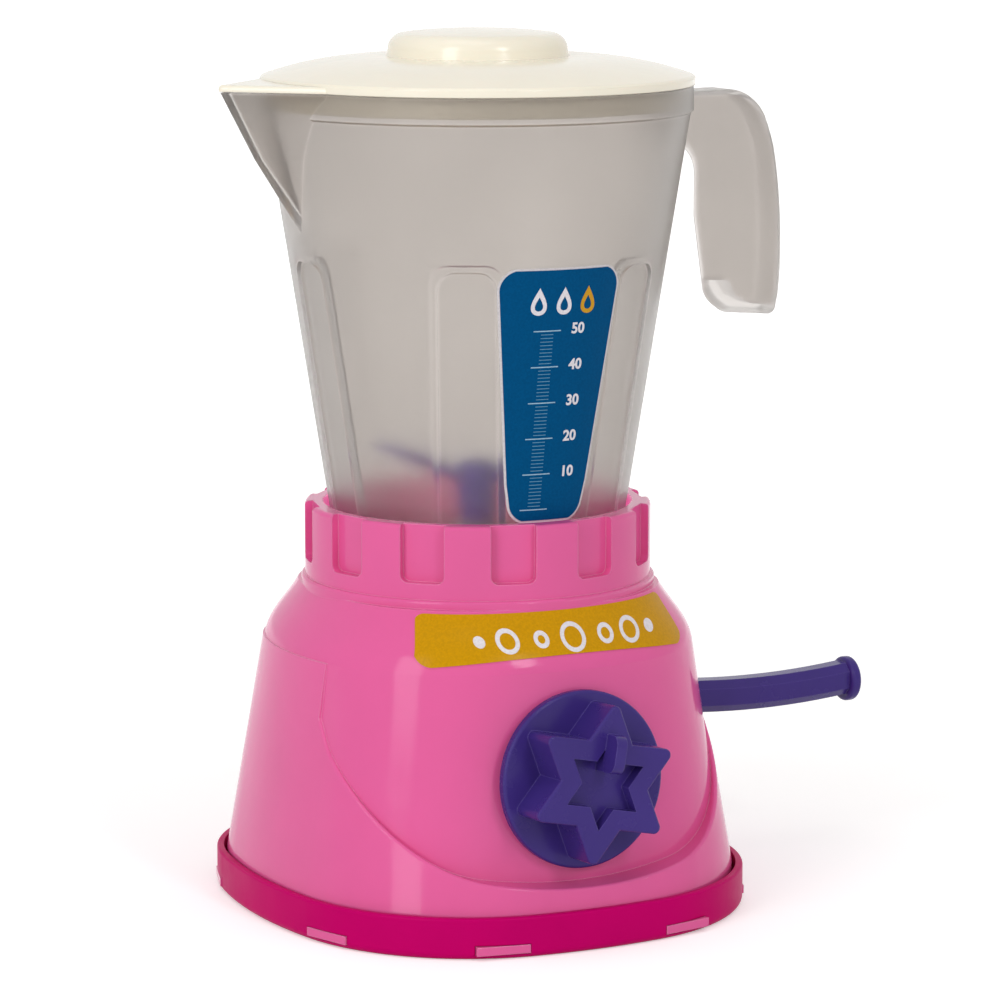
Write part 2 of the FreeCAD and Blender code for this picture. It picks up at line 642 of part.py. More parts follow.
def make_base_shell(collar):
    band = cut("SkirtBand", skirt_solid("Skirt", "0", "foot_low", "skirt_top_z"),
               panel_prism("PanelOpening", "0"))
    skirt = doc.addObject("Part::Fillet", "SkirtBandSoft")
    skirt.Base = band
    doc.recompute()
    skirt.Edges = [(n, 0.8, 0.8) for n, edge in enumerate(band.Shape.Edges, start=1)
                   if borders_panel(edge)]
    ring = cylinder("LedgeRing", "ring_radius", "ring_low_z", "ring_top_z")
    ring_edge = doc.addObject("Part::Fillet", "LedgeRingSoft")
    ring_edge.Base = ring
    doc.recompute()
    ring_edge.Edges = [(n, 0.8, 0.8) for n, edge in enumerate(ring.Shape.Edges, start=1)
                       if abs(edge.BoundBox.ZMin - value("ring_top_z")) < 0.01]
    outer = fuse("ShellOuter", skirt, core_solid("Core", "0"), shoulder_solid("Shoulder", "0", "0"),
                 ring_edge)
    hollow_skirt = cut("SkirtHollowBand",
                       skirt_solid("SkirtHollow", "wall_base", "foot_low - 1", "skirt_top_z - 4.5"),
                       panel_prism("PanelOpeningInside", "wall_base"))
    hollow = fuse("ShellHollow", hollow_skirt, core_solid("CoreHollow", "wall_base"),
                  shoulder_solid("ShoulderHollow", "wall_base", "wall_base * 1.35"),
                  cylinder("UnderDeck", "collar_under_radius", "ring_low_z - 6", "ring_top_z + 1"))
    walls = cut("ShellWalls", outer, hollow)
    tabs = loose_sketch("TabOutlines", "tab_low")
    tab_rectangles(tabs, value("tab_width / 2"), 4.4, 0.15)
    posts = [cylinder(f"Post{n}", "post_radius", "plate_top_z", "ring_low_z + 5", x, y)
             for n, (x, y) in enumerate(post_places())]
    pilots = [cylinder(f"Pilot{n}", "screw_radius", "plate_top_z - 1", "plate_top_z + 14", x, y)
              for n, (x, y) in enumerate(post_places())]
    hub = cylinder("SpindleHub", "hub_radius", "hub_low_z", "deck_low_z + 1")
    bearing = cylinder("SpindleBearing", "spindle_radius + run_gap", "hub_low_z - 1", "deck_top_z + 1")
    boss = on_knob_axis("KnobBoss", "knob_boss_radius", "-knob_boss_depth", "-1")
    knob_hole = on_knob_axis("KnobHole", "knob_shaft_radius + run_gap", "-knob_boss_depth - 5", "5")
    slot = loose_sketch("LeverSlotOutline")
    slot.Placement = Placement(Vector(), Rotation(Vector(1, 1, 1), 120))
    outline(slot, [
        ("-slot_half_width + slot_corner", "slot_low_z"), ("slot_half_width - slot_corner", "slot_low_z"),
        ("slot_half_width", "slot_low_z + slot_corner"), ("slot_half_width", "slot_high_z - slot_corner"),
        ("slot_half_width - slot_corner", "slot_high_z"), ("-slot_half_width + slot_corner", "slot_high_z"),
        ("-slot_half_width", "slot_high_z - slot_corner"), ("-slot_half_width", "slot_low_z + slot_corner"),
    ], {n: "slot_corner" for n in (1, 3, 5, 7)})
    fitted = fuse("ShellFitted", walls, collar, hub, boss, prism("Tabs", tabs, "tab_height"), *posts)
    holes = fuse("ShellHoles", bearing, knob_hole, prism("LeverSlot", slot, "90", "-45"), *pilots)
    shell = cut("base_shell", fitted, holes)
    shell.Label = "base_shell"
    return shell


def make_base_label():
    """Sticker wrapped over the front of the shoulder."""
    skin = cut("LabelSkin", shoulder_solid("LabelOver", "-label_thickness", "-label_thickness"),
               shoulder_solid("LabelUnder", "0", "0"))
    shape = loose_sketch("LabelOutline", upright=True)
    outline(shape, [
        ("-38", "76.6"), ("38", "76.6"), ("41", "79.4"), ("37.8", "88.4"), ("35.2", "89.8"),
        ("-35.2", "89.8"), ("-37.8", "88.4"), ("-41", "79.4"),
    ], {0: "-320", 1: "3", 3: "3", 5: "3", 7: "3"})
    label = common("base_label", skin, prism("LabelPrism", shape, "80", "-20"))
    label.Label = "base_label"
    return label


# ---------------------------------------------------------------- mechanism

def make_mechanism_plate():
    body = new_body("mechanism_plate")
    sketch = new_sketch(body, "PlateOutline", offset="plate_low_z")
    across, deep = "(plate_half_x - plate_corner)", "(plate_half_y - plate_corner)"
    outline(sketch, [
        (f"-{across}", "-plate_half_y"), (across, "-plate_half_y"),
        ("plate_half_x", f"-{deep}"), ("plate_half_x", deep),
        (across, "plate_half_y"), (f"-{across}", "plate_half_y"),
        ("-plate_half_x", deep), ("-plate_half_x", f"-{deep}"),
    ], {n: "plate_corner" for n in (1, 3, 5, 7)})
    for x, y in post_places():
        circle(sketch, "screw_radius + 0.2", x, y)
    extrude(body, sketch, "Plate", "plate_top_z - plate_low_z")
    for name, radius, top, x in (
            ("SpindleSeat", "hub_radius - 1", "gear_low_z - face_gap", "0"),
            ("PivotSeat", "lever_hub_radius - 1", "gear_low_z - face_gap", "pivot_x"),
            ("PivotPost", "pivot_radius", "pivot_top_z", "pivot_x")):
        seat = new_sketch(body, name + "Outline", offset="plate_low_z + 1")
        circle(seat, radius, x)
        extrude(body, seat, name, f"{top} - plate_low_z - 1")
    bore = new_sketch(body, "SpindleBoreOutline", offset="plate_low_z")
    circle(bore, "spindle_foot_radius + run_gap")
    extrude(body, bore, "SpindleBore", kind="Pocket", flip=True)
    pilot = new_sketch(body, "PivotPilotOutline", offset="pivot_top_z")
    circle(pilot, "screw_radius", "pivot_x")
    extrude(body, pilot, "PivotPilot", "12", kind="Pocket")
    return body


def cross(sketch, reach, half):
    """Outline of a cross recess."""
    outline(sketch, [
        (f"-{reach}", f"-{half}"), (f"-{half}", f"-{half}"), (f"-{half}", f"-{reach}"),
        (half, f"-{reach}"), (half, f"-{half}"), (reach, f"-{half}"),
        (reach, half), (half, half), (half, reach),
        (f"-{half}", reach), (f"-{half}", half), (f"-{reach}", half),
    ])


def make_screw(name, shank, head_down=True):
    """Pan-head screw on the Z axis whose head rests against the plane z = 0."""
    sign = -1 if head_down else 1
    body = new_body(name)
    revolve(body, name + "Turned", [
        ("0", f"{-sign} * ({shank})"), ("screw_radius - 0.5", f"{-sign} * ({shank})"),
        ("screw_radius", f"{-sign} * ({shank} - 1)"), ("screw_radius", "0"),
        ("3.1", "0"), ("3.1", f"{sign} * 1.3"), ("2.3", f"{sign} * 2.2"), ("0", f"{sign} * 2.2"),
    ])
    recess = new_sketch(body, name + "CrossOutline", offset=f"{sign} * 2.2")
    cross(recess, "1.7", "0.4")
    extrude(body, recess, name + "Cross", "1.1", kind="Pocket", flip=head_down)
    return body


def make_plate_screws():
    screws = []
    for number, (x, y) in enumerate(post_places()):
        screw = make_screw(f"PlateScrew{number}", "14")
        screws.append(bind(screw, Placement__Base__x=x, Placement__Base__y=y,
                           Placement__Base__z="plate_low_z"))
    group = fuse("plate_screws", *screws)
    group.Label = "plate_screws"
    return group


def make_washer(label, inner, outer, low, high):
    body = new_body(label)
    ring = new_sketch(body, label + "Outline", offset=low)
    circle(ring, outer)
    circle(ring, inner)
    extrude(body, ring, label + "Ring", f"({high}) - ({low})")
    return body


def tooth(sketch, teeth, addendum, direction):
    """One involute tooth, 20 degree pressure angle, pointing the given way."""
    pitch = value("gear_module") * teeth / 2
    base = pitch * math.cos(math.radians(20))
    root = pitch - value("gear_dedendum")

    def involute(radius):
        pressure = math.acos(min(1.0, base / radius))
        return math.tan(pressure) - pressure

    half_at_pitch = (math.pi * value("gear_module") / 2 - value("gear_backlash")) / (2 * pitch)
    tip = pitch + value(addendum)
    flank = []
    for step in range(6):
        radius = base + (tip - base) * step / 5
        flank.append((radius, half_at_pitch + involute(pitch) - involute(radius)))
    flank.insert(0, (root - 0.4, flank[0][1]))
    sides = [(radius, -half) for radius, half in flank] + [(radius, half) for radius, half in flank[::-1]]
    polygon(sketch, [Vector(radius * math.cos(direction + angle), radius * math.sin(direction + angle), 0)
                     for radius, angle in sides])


def ring_of_points(sketch, radii, start):
    """Outline through evenly spaced points whose distances from the axis take turns."""
    count = 6 * len(radii)
    outline(sketch, [
        (f"({radii[n % len(radii)]}) * cos({start} + {360 * n / count})",
         f"({radii[n % len(radii)]}) * sin({start} + {360 * n / count})") for n in range(count)])


def make_drive_spindle():
    body = new_body("drive_spindle")
    root = "gear_module * pinion_teeth / 2 - gear_dedendum"
    top = "gear_low_z + gear_height"
    revolve(body, "SpindleTurned", [
        ("0", "spindle_low_z"), ("spindle_foot_radius - 0.6", "spindle_low_z"),
        ("spindle_foot_radius", "spindle_low_z + 0.6"), ("spindle_foot_radius", "clip_groove_low"),
        ("clip_groove_radius", "clip_groove_low"), ("clip_groove_radius", "clip_groove_high"),
        ("spindle_foot_radius", "clip_groove_high"), ("spindle_foot_radius", "gear_low_z"),
        (root, "gear_low_z"), (root, top), ("spindle_radius", top), ("spindle_radius", "deck_top_z"),
        ("0", "deck_top_z"),
    ])
    first = new_sketch(body, "PinionToothOutline", offset="gear_low_z")
    tooth(first, value("pinion_teeth"), "pinion_addendum", math.pi / value("pinion_teeth"))
    pad = extrude(body, first, "PinionTooth", "gear_height")
    pattern(body, pad, "PinionTeeth", "pinion_teeth")
    nose = new_sketch(body, "NoseOutline", offset="deck_top_z")
    ring_of_points(nose, ["nose_across / sqrt(3)"], 0)
    pad = extrude(body, nose, "Nose", "nose_top_z - deck_top_z")
    soften(body, pad, "NoseLead", level_edge("nose_top_z"), "0.7", kind="Chamfer")
    return body


def make_lever():
    """Lever about its post: gear sector towards -X, arm and end flange towards +X."""
    body = new_body("lever")
    hub = new_sketch(body, "LeverHubOutline", offset="gear_low_z")
    circle(hub, "lever_hub_radius")
    extrude(body, hub, "LeverHub", "lever_hub_top_z - gear_low_z")
    step = 360 / value("sector_teeth")
    half = f"({step} * sector_cut_teeth / 2)"
    root = "(gear_module * sector_teeth / 2 - gear_dedendum)"
    web = new_sketch(body, "SectorOutline", offset="gear_low_z")
    outline(web, [("0", "0"), (f"-{root} * cos({half})", f"{root} * sin({half})"),
                  (f"-{root} * cos({half})", f"-{root} * sin({half})")], {1: root})
    extrude(body, web, "Sector", "gear_height")
    first = new_sketch(body, "SectorToothOutline", offset="gear_low_z")
    span = step * (value("sector_cut_teeth") - 1)
    tooth(first, value("sector_teeth"), "sector_addendum", math.pi - math.radians(span / 2))
    pad = extrude(body, first, "SectorTooth", "gear_height")
    pattern(body, pad, "SectorTeeth", "sector_cut_teeth", f"{step} * (sector_cut_teeth - 1)")
    side = new_sketch(body, "ArmOutline", "XZ_Plane")
    bend, tip = "lever_bend_x - pivot_x", "lever_tip_x - pivot_x"
    outline(side, [
        ("0", "lever_z - lever_half_height"), (bend, "lever_z - lever_half_height"),
        (tip, "lever_tip_z - lever_half_height"), (tip, "lever_tip_z + lever_half_height"),
        (bend, "lever_z + lever_half_height"), ("0", "lever_z + lever_half_height"),
    ], {1: "lever_sweep", 3: "-lever_sweep"})
    arm = extrude(body, side, "Arm", "2 * lever_half_width", both=True)
    half_width = value("lever_half_width")

    def along_arm(edge):
        box = edge.BoundBox
        beside = abs(abs(box.YMin) - half_width) < 0.01 and abs(abs(box.YMax) - half_width) < 0.01
        return beside and box.XLength > 20 and box.YLength < 0.01

    soften(body, arm, "ArmEdges", along_arm, "lever_chamfer", kind="Chamfer")
    end = new_sketch(body, "FlangeOutline", "YZ_Plane", tip)
    circle(end, "flange_radius", "0", "lever_tip_z - 0.5")
    flange = extrude(body, end, "Flange", "flange_thickness")
    reach = value(tip)

    def flange_edge(edge):
        box = edge.BoundBox
        return box.XMin > reach - 0.01 and box.XLength < 0.01 and box.YLength > 12

    soften(body, flange, "FlangeEdges", flange_edge, "1.1")
    bore = new_sketch(body, "LeverBoreOutline", offset="gear_low_z")
    circle(bore, "pivot_radius + run_gap")
    extrude(body, bore, "LeverBore", kind="Pocket", flip=True)
    return bind(body, Placement__Base__x="pivot_x")


def make_lever_fixings():
    washer = make_washer("lever_washer", "screw_radius + 0.1", "7.0", "pivot_top_z", "pivot_top_z + 0.8")
    bind(washer, Placement__Base__x="pivot_x")
    screw = make_screw("lever_screw", "12", head_down=False)
    bind(screw, Placement__Base__x="pivot_x", Placement__Base__z="pivot_top_z + 0.8")
    return [washer, screw]


# ---------------------------------------------------------------- knob

def upright_edge(radius):
    """Test for edges parallel to the Z axis at a distance from it."""
    distance = value(radius)

    def test(edge):
        box = edge.BoundBox
        if box.XLength > 0.01 or box.YLength > 0.01:
            return False
        return abs(math.hypot(box.XMin, box.YMin) - distance) < 0.05

    return test


def make_knob():
    """Knob in its own frame: the panel is z = 0 and z runs outwards along the knob's axis."""
    body = new_body("knob")
    disc_top = "knob_lift + knob_disc"
    star_top = "knob_lift + knob_disc + star_height"
    turned = revolve(body, "KnobTurned", [
        ("0", "-knob_boss_depth - face_gap"), ("knob_shaft_radius", "-knob_boss_depth - face_gap"),
        ("knob_shaft_radius", "knob_lift"), ("knob_radius", "knob_lift"), ("knob_radius", disc_top),
        ("0", disc_top),
    ])
    soften(body, turned, "DiscEdge", level_edge(disc_top), "0.9")
    start = value("90 - star_turn")
    star = new_sketch(body, "StarOutline", offset=disc_top)
    ring_of_points(star, ["star_radius", "star_radius / sqrt(3)"], start)
    pad = extrude(body, star, "Star", "star_height")
    pad = soften(body, pad, "StarTips", upright_edge("star_radius"), "star_tip_radius")
    soften(body, pad, "StarEdge", level_edge(star_top), "0.7")
    recess = new_sketch(body, "RecessOutline", offset=star_top)
    ring_of_points(recess, ["recess_radius", "recess_radius / sqrt(3)"], start)
    extrude(body, recess, "Recess", "recess_depth", kind="Pocket")
    tab = new_sketch(body, "PointerOutline", offset=f"{star_top} - recess_depth")
    turn = math.radians(start)
    along, across = Vector(math.cos(turn), math.sin(turn), 0), Vector(-math.sin(turn), math.cos(turn), 0)
    near, far = along * value("pointer_in"), along * value("pointer_out")
    side = across * value("pointer_half")
    polygon(tab, [near - side, far - side, far + side, near + side])
    pointer = extrude(body, tab, "Pointer", "recess_depth + pointer_proud")
    pointer_top = level_edge(f"{star_top} + pointer_proud")
    soften(body, pointer, "PointerEnds", lambda edge: pointer_top(edge) and edge.Length < 4, "3")
    pilot = new_sketch(body, "KnobPilotOutline", offset="-knob_boss_depth - face_gap")
    circle(pilot, "screw_radius")
    extrude(body, pilot, "KnobPilot", "10", kind="Pocket", flip=True)
    body.Placement = KNOB_PLACEMENT
    return body


def make_knob_fixings():
    low = "-knob_boss_depth - face_gap"
    washer = make_washer("knob_washer", "screw_radius + 0.1", "8.0", f"{low} - 1", low)
    washer.Placement = KNOB_PLACEMENT
    screw = make_screw("knob_screw", "10")
    screw.Placement = KNOB_PLACEMENT.multiply(Placement(Vector(0, 0, value(f"{low} - 1")), Rotation()))
    return [washer, screw]


# ---------------------------------------------------------------- jug

def jug_radius(height):
    return f"(jug_foot_radius + jug_slope * (({height}) - jug_foot_z))"


def fluted(body, name, depth, half_width, length, start):
    """Press six flat flutes into a cone, each parallel to the wall and rounded at the top."""
    sketch = new_sketch(body, name + "Outline", "XZ_Plane")
    lean = math.degrees(math.atan(value("jug_slope")))
    sketch.AttachmentOffset = Placement(Vector(), Rotation(Vector(1, 0, 0), lean))
    bind(sketch, AttachmentOffset__Base__y="jug_foot_z",
         AttachmentOffset__Base__z=f"jug_foot_radius - ({depth})")
    corner = "flute_corner"
    outline(sketch, [
        (f"-({half_width})", start), (half_width, start),
        (half_width, f"({length}) - {corner}"), (f"({half_width}) - {corner}", length),
        (f"-({half_width}) + {corner}", length), (f"-({half_width})", f"({length}) - {corner}"),
    ], {2: corner, 4: corner})
    first = extrude(body, sketch, name, "12", kind="Pocket", flip=True)
    pattern(body, first, name + "s", "flute_count")
    body.Placement = Placement(Vector(), Rotation(Vector(0, 0, 1), 180 / value("flute_count")))
    return body


def spout_outline(sketch, tip, base_x, base_y, inner_x):
    """Level V towards -X, blunt at the tip, with its open end inside the wall."""
    outline(sketch, [
        (f"-({base_x})", f"-({base_y})"), (f"-({inner_x})", "0"), (f"-({base_x})", base_y),
        (f"-({tip}) + 0.8", "1.1"), (f"-({tip}) + 0.8", "-1.1"),
    ], {3: "1.4"})


def spout_section(name, height, *corners):
    sketch = loose_sketch(name, height)
    spout_outline(sketch, *corners)
    return sketch


def make_jug():
    outside = new_body("jug_outer_form")
    turned = revolve(outside, "JugCone", [
        ("0", "jug_foot_z"), ("jug_foot_radius", "jug_foot_z"), (jug_radius("band_low_z"), "band_low_z"),
        ("band_radius", "band_low_z + 0.6"), ("band_radius", "jug_top_z"), ("0", "jug_top_z"),
    ])
    fluted(outside, "Flute", "flute_depth", "flute_half_width", "flute_length", "-2")
    inside = new_body("jug_inner_form")
    low, high = "jug_foot_z - 2", "jug_top_z + 2"
    revolve(inside, "CavityCone", [
        ("0", low), (f"{jug_radius(low)} - jug_wall", low), (f"{jug_radius(high)} - jug_wall", high),
        ("0", high),
    ])
    fluted(inside, "FluteInside", "flute_depth + jug_wall", "flute_half_width + jug_wall",
           "flute_length + jug_wall", "-6")
    floor = cylinder("JugFloor", "60", "jug_floor_low_z", "jug_floor_top_z")
    hollow = cut("JugHollow", inside, floor)
    spout = loft("Spout", [
        spout_section("SpoutTop", "jug_top_z", "spout_tip_x", "spout_base_x", "spout_base_y", "45"),
        spout_section("SpoutMiddle", "spout_mid_z", "spout_mid_x", "53", "spout_base_y / 2", "45"),
        spout_section("SpoutFoot", "spout_low_z", "54.6", "53.2", "1.2", "51"),
    ])
    spout_inside = loft("SpoutInside", [
        spout_section("SpoutInsideTop", "jug_top_z + 1", "spout_tip_x - 2.4", "spout_base_x - 1.5",
                      "spout_base_y - 1.7", "45"),
        spout_section("SpoutInsideMiddle", "spout_mid_z", "spout_mid_x - 2.2", "52", "spout_base_y / 2 - 1.3",
                      "45"),
        spout_section("SpoutInsideFoot", "spout_low_z + 3", "53.2", "51.8", "1.2", "50"),
    ])
    solid = fuse("JugSolid", outside, spout, make_handle())
    bush_hole = cylinder("BushHole", "bush_radius", "jug_floor_low_z - 1", "jug_floor_top_z + 1")
    jug = cut("jug", solid, fuse("JugEmpty", hollow, spout_inside, bush_hole))
    jug.Label = "jug"
    return jug


def make_handle():
    """Hook handle: a deep channel, open towards the jug.

    Its inner side is cut at a slant in plan, so the front wall reaches in further than the back wall.
    """
    body = new_body("handle_form")
    side = new_sketch(body, "HandleSide", "XZ_Plane")
    outline(side, [
        ("57", "226.2"), ("78", "226.6"), ("89.4", "218.8"), ("92.5", "209.6"), ("94.9", "187.8"),
        ("94.3", "167"), ("93.4", "162.9"), ("91.2", "161.4"), ("66", "163.6"), ("60", "206"),
        ("57", "213.4"),
    ], {1: "-14", 2: "-60", 3: "-150", 4: "-130", 6: "-2.6"})
    block = extrude(body, side, "HandleBlock", "2 * handle_half_width", both=True)
    half_width = value("handle_half_width")

    def outer_edge(edge):
        box = edge.BoundBox
        return box.YLength < 0.01 and abs(abs(box.YMin) - half_width) < 0.01 and box.XMax > 67

    soften(body, block, "HandleEdges", outer_edge, "handle_edge_radius")
    groove = new_sketch(body, "HandleGrooveSide", "XZ_Plane")
    outline(groove, [
        ("64", "224.9"), ("77.8", "225.1"), ("88.1", "218.1"), ("91.7", "209.4"), ("93.7", "187.8"),
        ("93", "167.4"), ("92.2", "164.1"), ("85.5", "164.8"), ("80.5", "167.2"), ("77.5", "172"),
        ("60", "172.6"), ("60", "205"), ("62", "214"),
    ], {1: "-12.6", 2: "-60", 3: "-150", 4: "-130"})
    extrude(body, groove, "HandleGroove", "2 * (handle_half_width - handle_wall)", kind="Pocket", both=True)
    inner_side = loose_sketch("HandleInnerSide", upright=True)
    outline(inner_side, [
        ("50", "155"), ("84", "155"), ("84", "161.6"), ("76.6", "164.7"), ("72.6", "169.6"),
        ("69.5", "191"), ("69.5", "203.6"), ("60.5", "212.6"), ("50", "213.6"),
    ], {2: "-14", 3: "-9", 6: "9.4"})
    trim = prism("HandleInnerTrim", inner_side, "20", "20")
    trim.DirMode = "Custom"
    skew = math.radians(value("handle_skew"))
    trim.Dir = Vector(math.sin(skew), math.cos(skew), 0)
    return cut("HandleTrimmed", body, trim)


def make_jug_label():
    """Sticker on the front of the jug, between two flutes."""
    low, high = "110", "186"
    form = new_body("jug_label_form")
    revolve(form, "LabelCone", [
        (jug_radius(low), low), (f"{jug_radius(low)} + label_thickness", low),
        (f"{jug_radius(high)} + label_thickness", high), (jug_radius(high), high),
    ])
    shape = loose_sketch("JugLabelOutline", upright=True)
    outline(shape, [
        ("-7.6", "113.6"), ("6.6", "113.6"), ("10.2", "117.6"), ("11.4", "124"), ("17.2", "177.6"),
        ("13.4", "183.4"), ("-14.4", "183.4"), ("-18.2", "177.6"), ("-12.4", "124"), ("-11.2", "117.6"),
    ], {1: "6", 4: "5.5", 6: "5.5", 9: "6"})
    label = common("jug_label", form, prism("JugLabelPrism", shape, "80"))
    label.Label = "jug_label"
    return label


# ---------------------------------------------------------------- blade

def make_blade_bush():
    body = new_body("blade_bush")
    bore = "blade_shaft_radius + run_gap"
    revolve(body, "BushTurned", [
        (bore, "jug_floor_low_z"), ("bush_radius", "jug_floor_low_z"), ("bush_radius", "jug_floor_top_z"),
        ("bush_flange_radius", "jug_floor_top_z"), ("bush_flange_radius", "bush_top_z"), (bore, "bush_top_z"),
    ])
    return body


def make_blade_coupling():
    body = new_body("blade_coupling")
    turned = revolve(body, "CouplingTurned", [
        ("0", "cup_low_z"), ("cup_radius", "cup_low_z"), ("cup_radius", "cup_top_z"),
        ("blade_shaft_radius", "cup_top_z"), ("blade_shaft_radius", "blade_shaft_top_z"),
        ("0", "blade_shaft_top_z"),
    ])
    soften(body, turned, "CupEdge", level_edge("cup_low_z"), "0.6", kind="Chamfer")
    socket = new_sketch(body, "SocketOutline", offset="cup_low_z")
    ring_of_points(socket, ["socket_across / sqrt(3)"], 0)
    extrude(body, socket, "Socket", "socket_depth", kind="Pocket", flip=True)
    return body


def make_blade():
    hub = new_body("blade_hub_form")
    revolve(hub, "BladeHub", [
        ("blade_shaft_radius", "blade_low_z"), ("4.4", "blade_low_z"), ("5", "blade_low_z + 1"),
        ("blade_hub_radius", "blade_shaft_top_z"), ("blade_hub_radius", "blade_top_z - 3"),
        ("blade_hub_radius - 3", "blade_top_z"), ("0", "blade_top_z"), ("0", "blade_shaft_top_z"),
        ("blade_shaft_radius", "blade_shaft_top_z"),
    ], {4: "3"})
    side = loose_sketch("BladeSide", upright=True)
    outline(side, [
        ("-blade_length", "129.8"), ("-blade_length", "128.2"), ("-4", "118.4"), ("4", "118.4"),
        ("blade_length", "128.2"), ("blade_length", "129.8"), ("4", "121.4"), ("-4", "121.4"),
    ])
    plan_view = loose_sketch("BladePlan")
    outline(plan_view, [
        ("0", "-4.2"), ("20", "-3.6"), ("blade_length", "1.8"), ("20", "3.6"),
        ("0", "4.2"), ("-20", "3.6"), ("-blade_length", "-1.8"), ("-20", "-3.6"),
    ], {1: "22", 5: "22"})
    arms = common("BladeArms", prism("BladeSideForm", side, "10", "10"),
                  prism("BladePlanForm", plan_view, "140"))
    blade = fuse("blade", hub, arms)
    blade.Label = "blade"
    blade.Placement = Placement(Vector(), Rotation(Vector(0, 0, 1), value("blade_turn")))
    return blade


# ---------------------------------------------------------------- lid

def make_lid():
    form = new_body("lid_form")
    inner = "lid_rim_low_z"
    revolve(form, "LidTurned", [
        ("plug_radius - 0.9", f"{inner} - plug_depth"), ("plug_radius", inner), ("lid_radius", inner),
        ("lid_radius", "lid_rim_top_z - 0.6"), ("lid_radius - 0.6", "lid_rim_top_z"),
        ("cap_radius", "dome_top_z"), ("cap_radius - 0.4", "cap_top_z - 5.4"),
        ("cap_radius - 4.6", "cap_top_z - 1"), ("4", "cap_top_z"), ("0", "cap_top_z"),
        ("0", "cap_top_z - lid_wall"),
        ("cap_radius - 5.2", "cap_top_z - lid_wall - 1"), ("cap_radius - 2.2", "cap_top_z - lid_wall - 4"),
        ("cap_radius - 2.2", "dome_top_z - lid_wall"), ("plug_radius - 2.4", f"{inner} + 1.1"),
        ("plug_radius - 2.4", f"{inner} - plug_depth"),
    ], {4: "dome_radius", 6: "4.7", 7: "((cap_radius - 8.6) ^ 2 + 1) / 2", 13: "-dome_radius"})
    cover = new_body("spout_cover_form")
    cover_plan = new_sketch(cover, "CoverPlan", offset=inner)
    spout_outline(cover_plan, "spout_tip_x + 0.5", "spout_base_x", "spout_base_y + 0.5", "45")
    plate = extrude(cover, cover_plan, "CoverPlate", "cover_thickness")
    soften(cover, plate, "CoverEdge", level_edge(f"{inner} + cover_thickness", 60), "1.1")
    spout_cover = cut("SpoutCover", cover, cylinder("CoverTrim", "plug_radius - 1.2", f"{inner} - 1",
                                                    f"{inner} + 3"))
    lid = fuse("lid", form, spout_cover)
    lid.Label = "lid"
    return lid


# ---------------------------------------------------------------- assembly

nodes = [
    make_bottom_tray(),
    make_base_shell(make_collar()),
    make_base_label(),
    make_mechanism_plate(),
    make_plate_screws(),
    make_drive_spindle(),
    make_washer("spindle_clip", "clip_groove_radius + 0.05", "7.0", "clip_groove_low + 0.1",
                "clip_groove_high - 0.1"),
    make_lever(),
    *make_lever_fixings(),
    make_knob(),
    *make_knob_fixings(),
    make_jug(),
    make_jug_label(),
    make_blade_bush(),
    make_blade_coupling(),
    make_washer("blade_washer", "blade_shaft_radius", "5.6", "bush_top_z + face_gap", "blade_low_z"),
    make_blade(),
    make_lid(),
]
doc.recompute()

for item in doc.Objects:
    faults = [state for state in item.State if state in ("Invalid", "Error")]
    if faults:
        raise RuntimeError(f"{item.Label}: {faults}")
for node in nodes:
    if node.Shape.isNull() or not node.Shape.isValid():
        raise RuntimeError(f"{node.Label}: shape is null or invalid")
for node in nodes:
    node.Shape.exportStep(f"parts/{node.Label}.step")
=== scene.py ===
import math

import bmesh
import bpy
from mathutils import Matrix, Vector
from mathutils.bvhtree import BVHTree


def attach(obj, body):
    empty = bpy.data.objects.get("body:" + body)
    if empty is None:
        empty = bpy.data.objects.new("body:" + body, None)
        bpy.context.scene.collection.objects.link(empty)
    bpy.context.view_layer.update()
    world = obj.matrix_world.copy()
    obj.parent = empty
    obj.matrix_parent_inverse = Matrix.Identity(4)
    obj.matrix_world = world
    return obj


# Looks of a hand-worked toy blender. Metres, +Z up, knob towards -Y, handle and lever towards +X.

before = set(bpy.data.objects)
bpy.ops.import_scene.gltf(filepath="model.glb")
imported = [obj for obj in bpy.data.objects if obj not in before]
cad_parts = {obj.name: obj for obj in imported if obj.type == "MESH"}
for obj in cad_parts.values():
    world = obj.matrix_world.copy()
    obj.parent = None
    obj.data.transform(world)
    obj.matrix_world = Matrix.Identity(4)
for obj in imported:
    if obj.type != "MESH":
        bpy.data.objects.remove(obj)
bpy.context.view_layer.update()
MM = 0.001

# ---------------------------------------------------------------- camera and light

CAMERA_PLACE = Vector((-0.5405, -1.0718, 0.3099))
CAMERA_VIEW = Vector((0.4443, 0.8811, -0.1620))
CAMERA_LENS = 155.06
CAMERA_SHIFT_X = 0.0225

WHITE = (1, 1, 1, 1)
ROOM_COLOUR = (1.0, 0.985, 0.97, 1)
ROOM_STRENGTH = 0.56

FLOOR_RADIUS = 14.0
FLOOR_COLOUR = (0.9, 0.9, 0.9, 1)
FLOOR_NEAR = 0.25
FLOOR_NEAR_GLOW = 0.36
FLOOR_FAR = 1.6
FLOOR_FAR_GLOW = 0.75

# Each lamp's place, the point it faces, its width and height, and its power in watts.
SOFTBOXES = {
    "window_left": ((-1.85, -0.95, 0.95), (0, 0, 0.2), 0.7, 1.6, 15),
    "window_front": ((0.3, -2.2, 1.5), (0, 0, 0.15), 0.4, 1.0, 11),
    "top": ((-0.3, -0.2, 2.1), (0, 0, 0.12), 1.3, 1.0, 4),
}


def add_object(name, data):
    item = bpy.data.objects.new(name, data)
    bpy.context.scene.collection.objects.link(item)
    return item


def aim(item, direction):
    item.rotation_euler = direction.to_track_quat("-Z", "Y").to_euler()


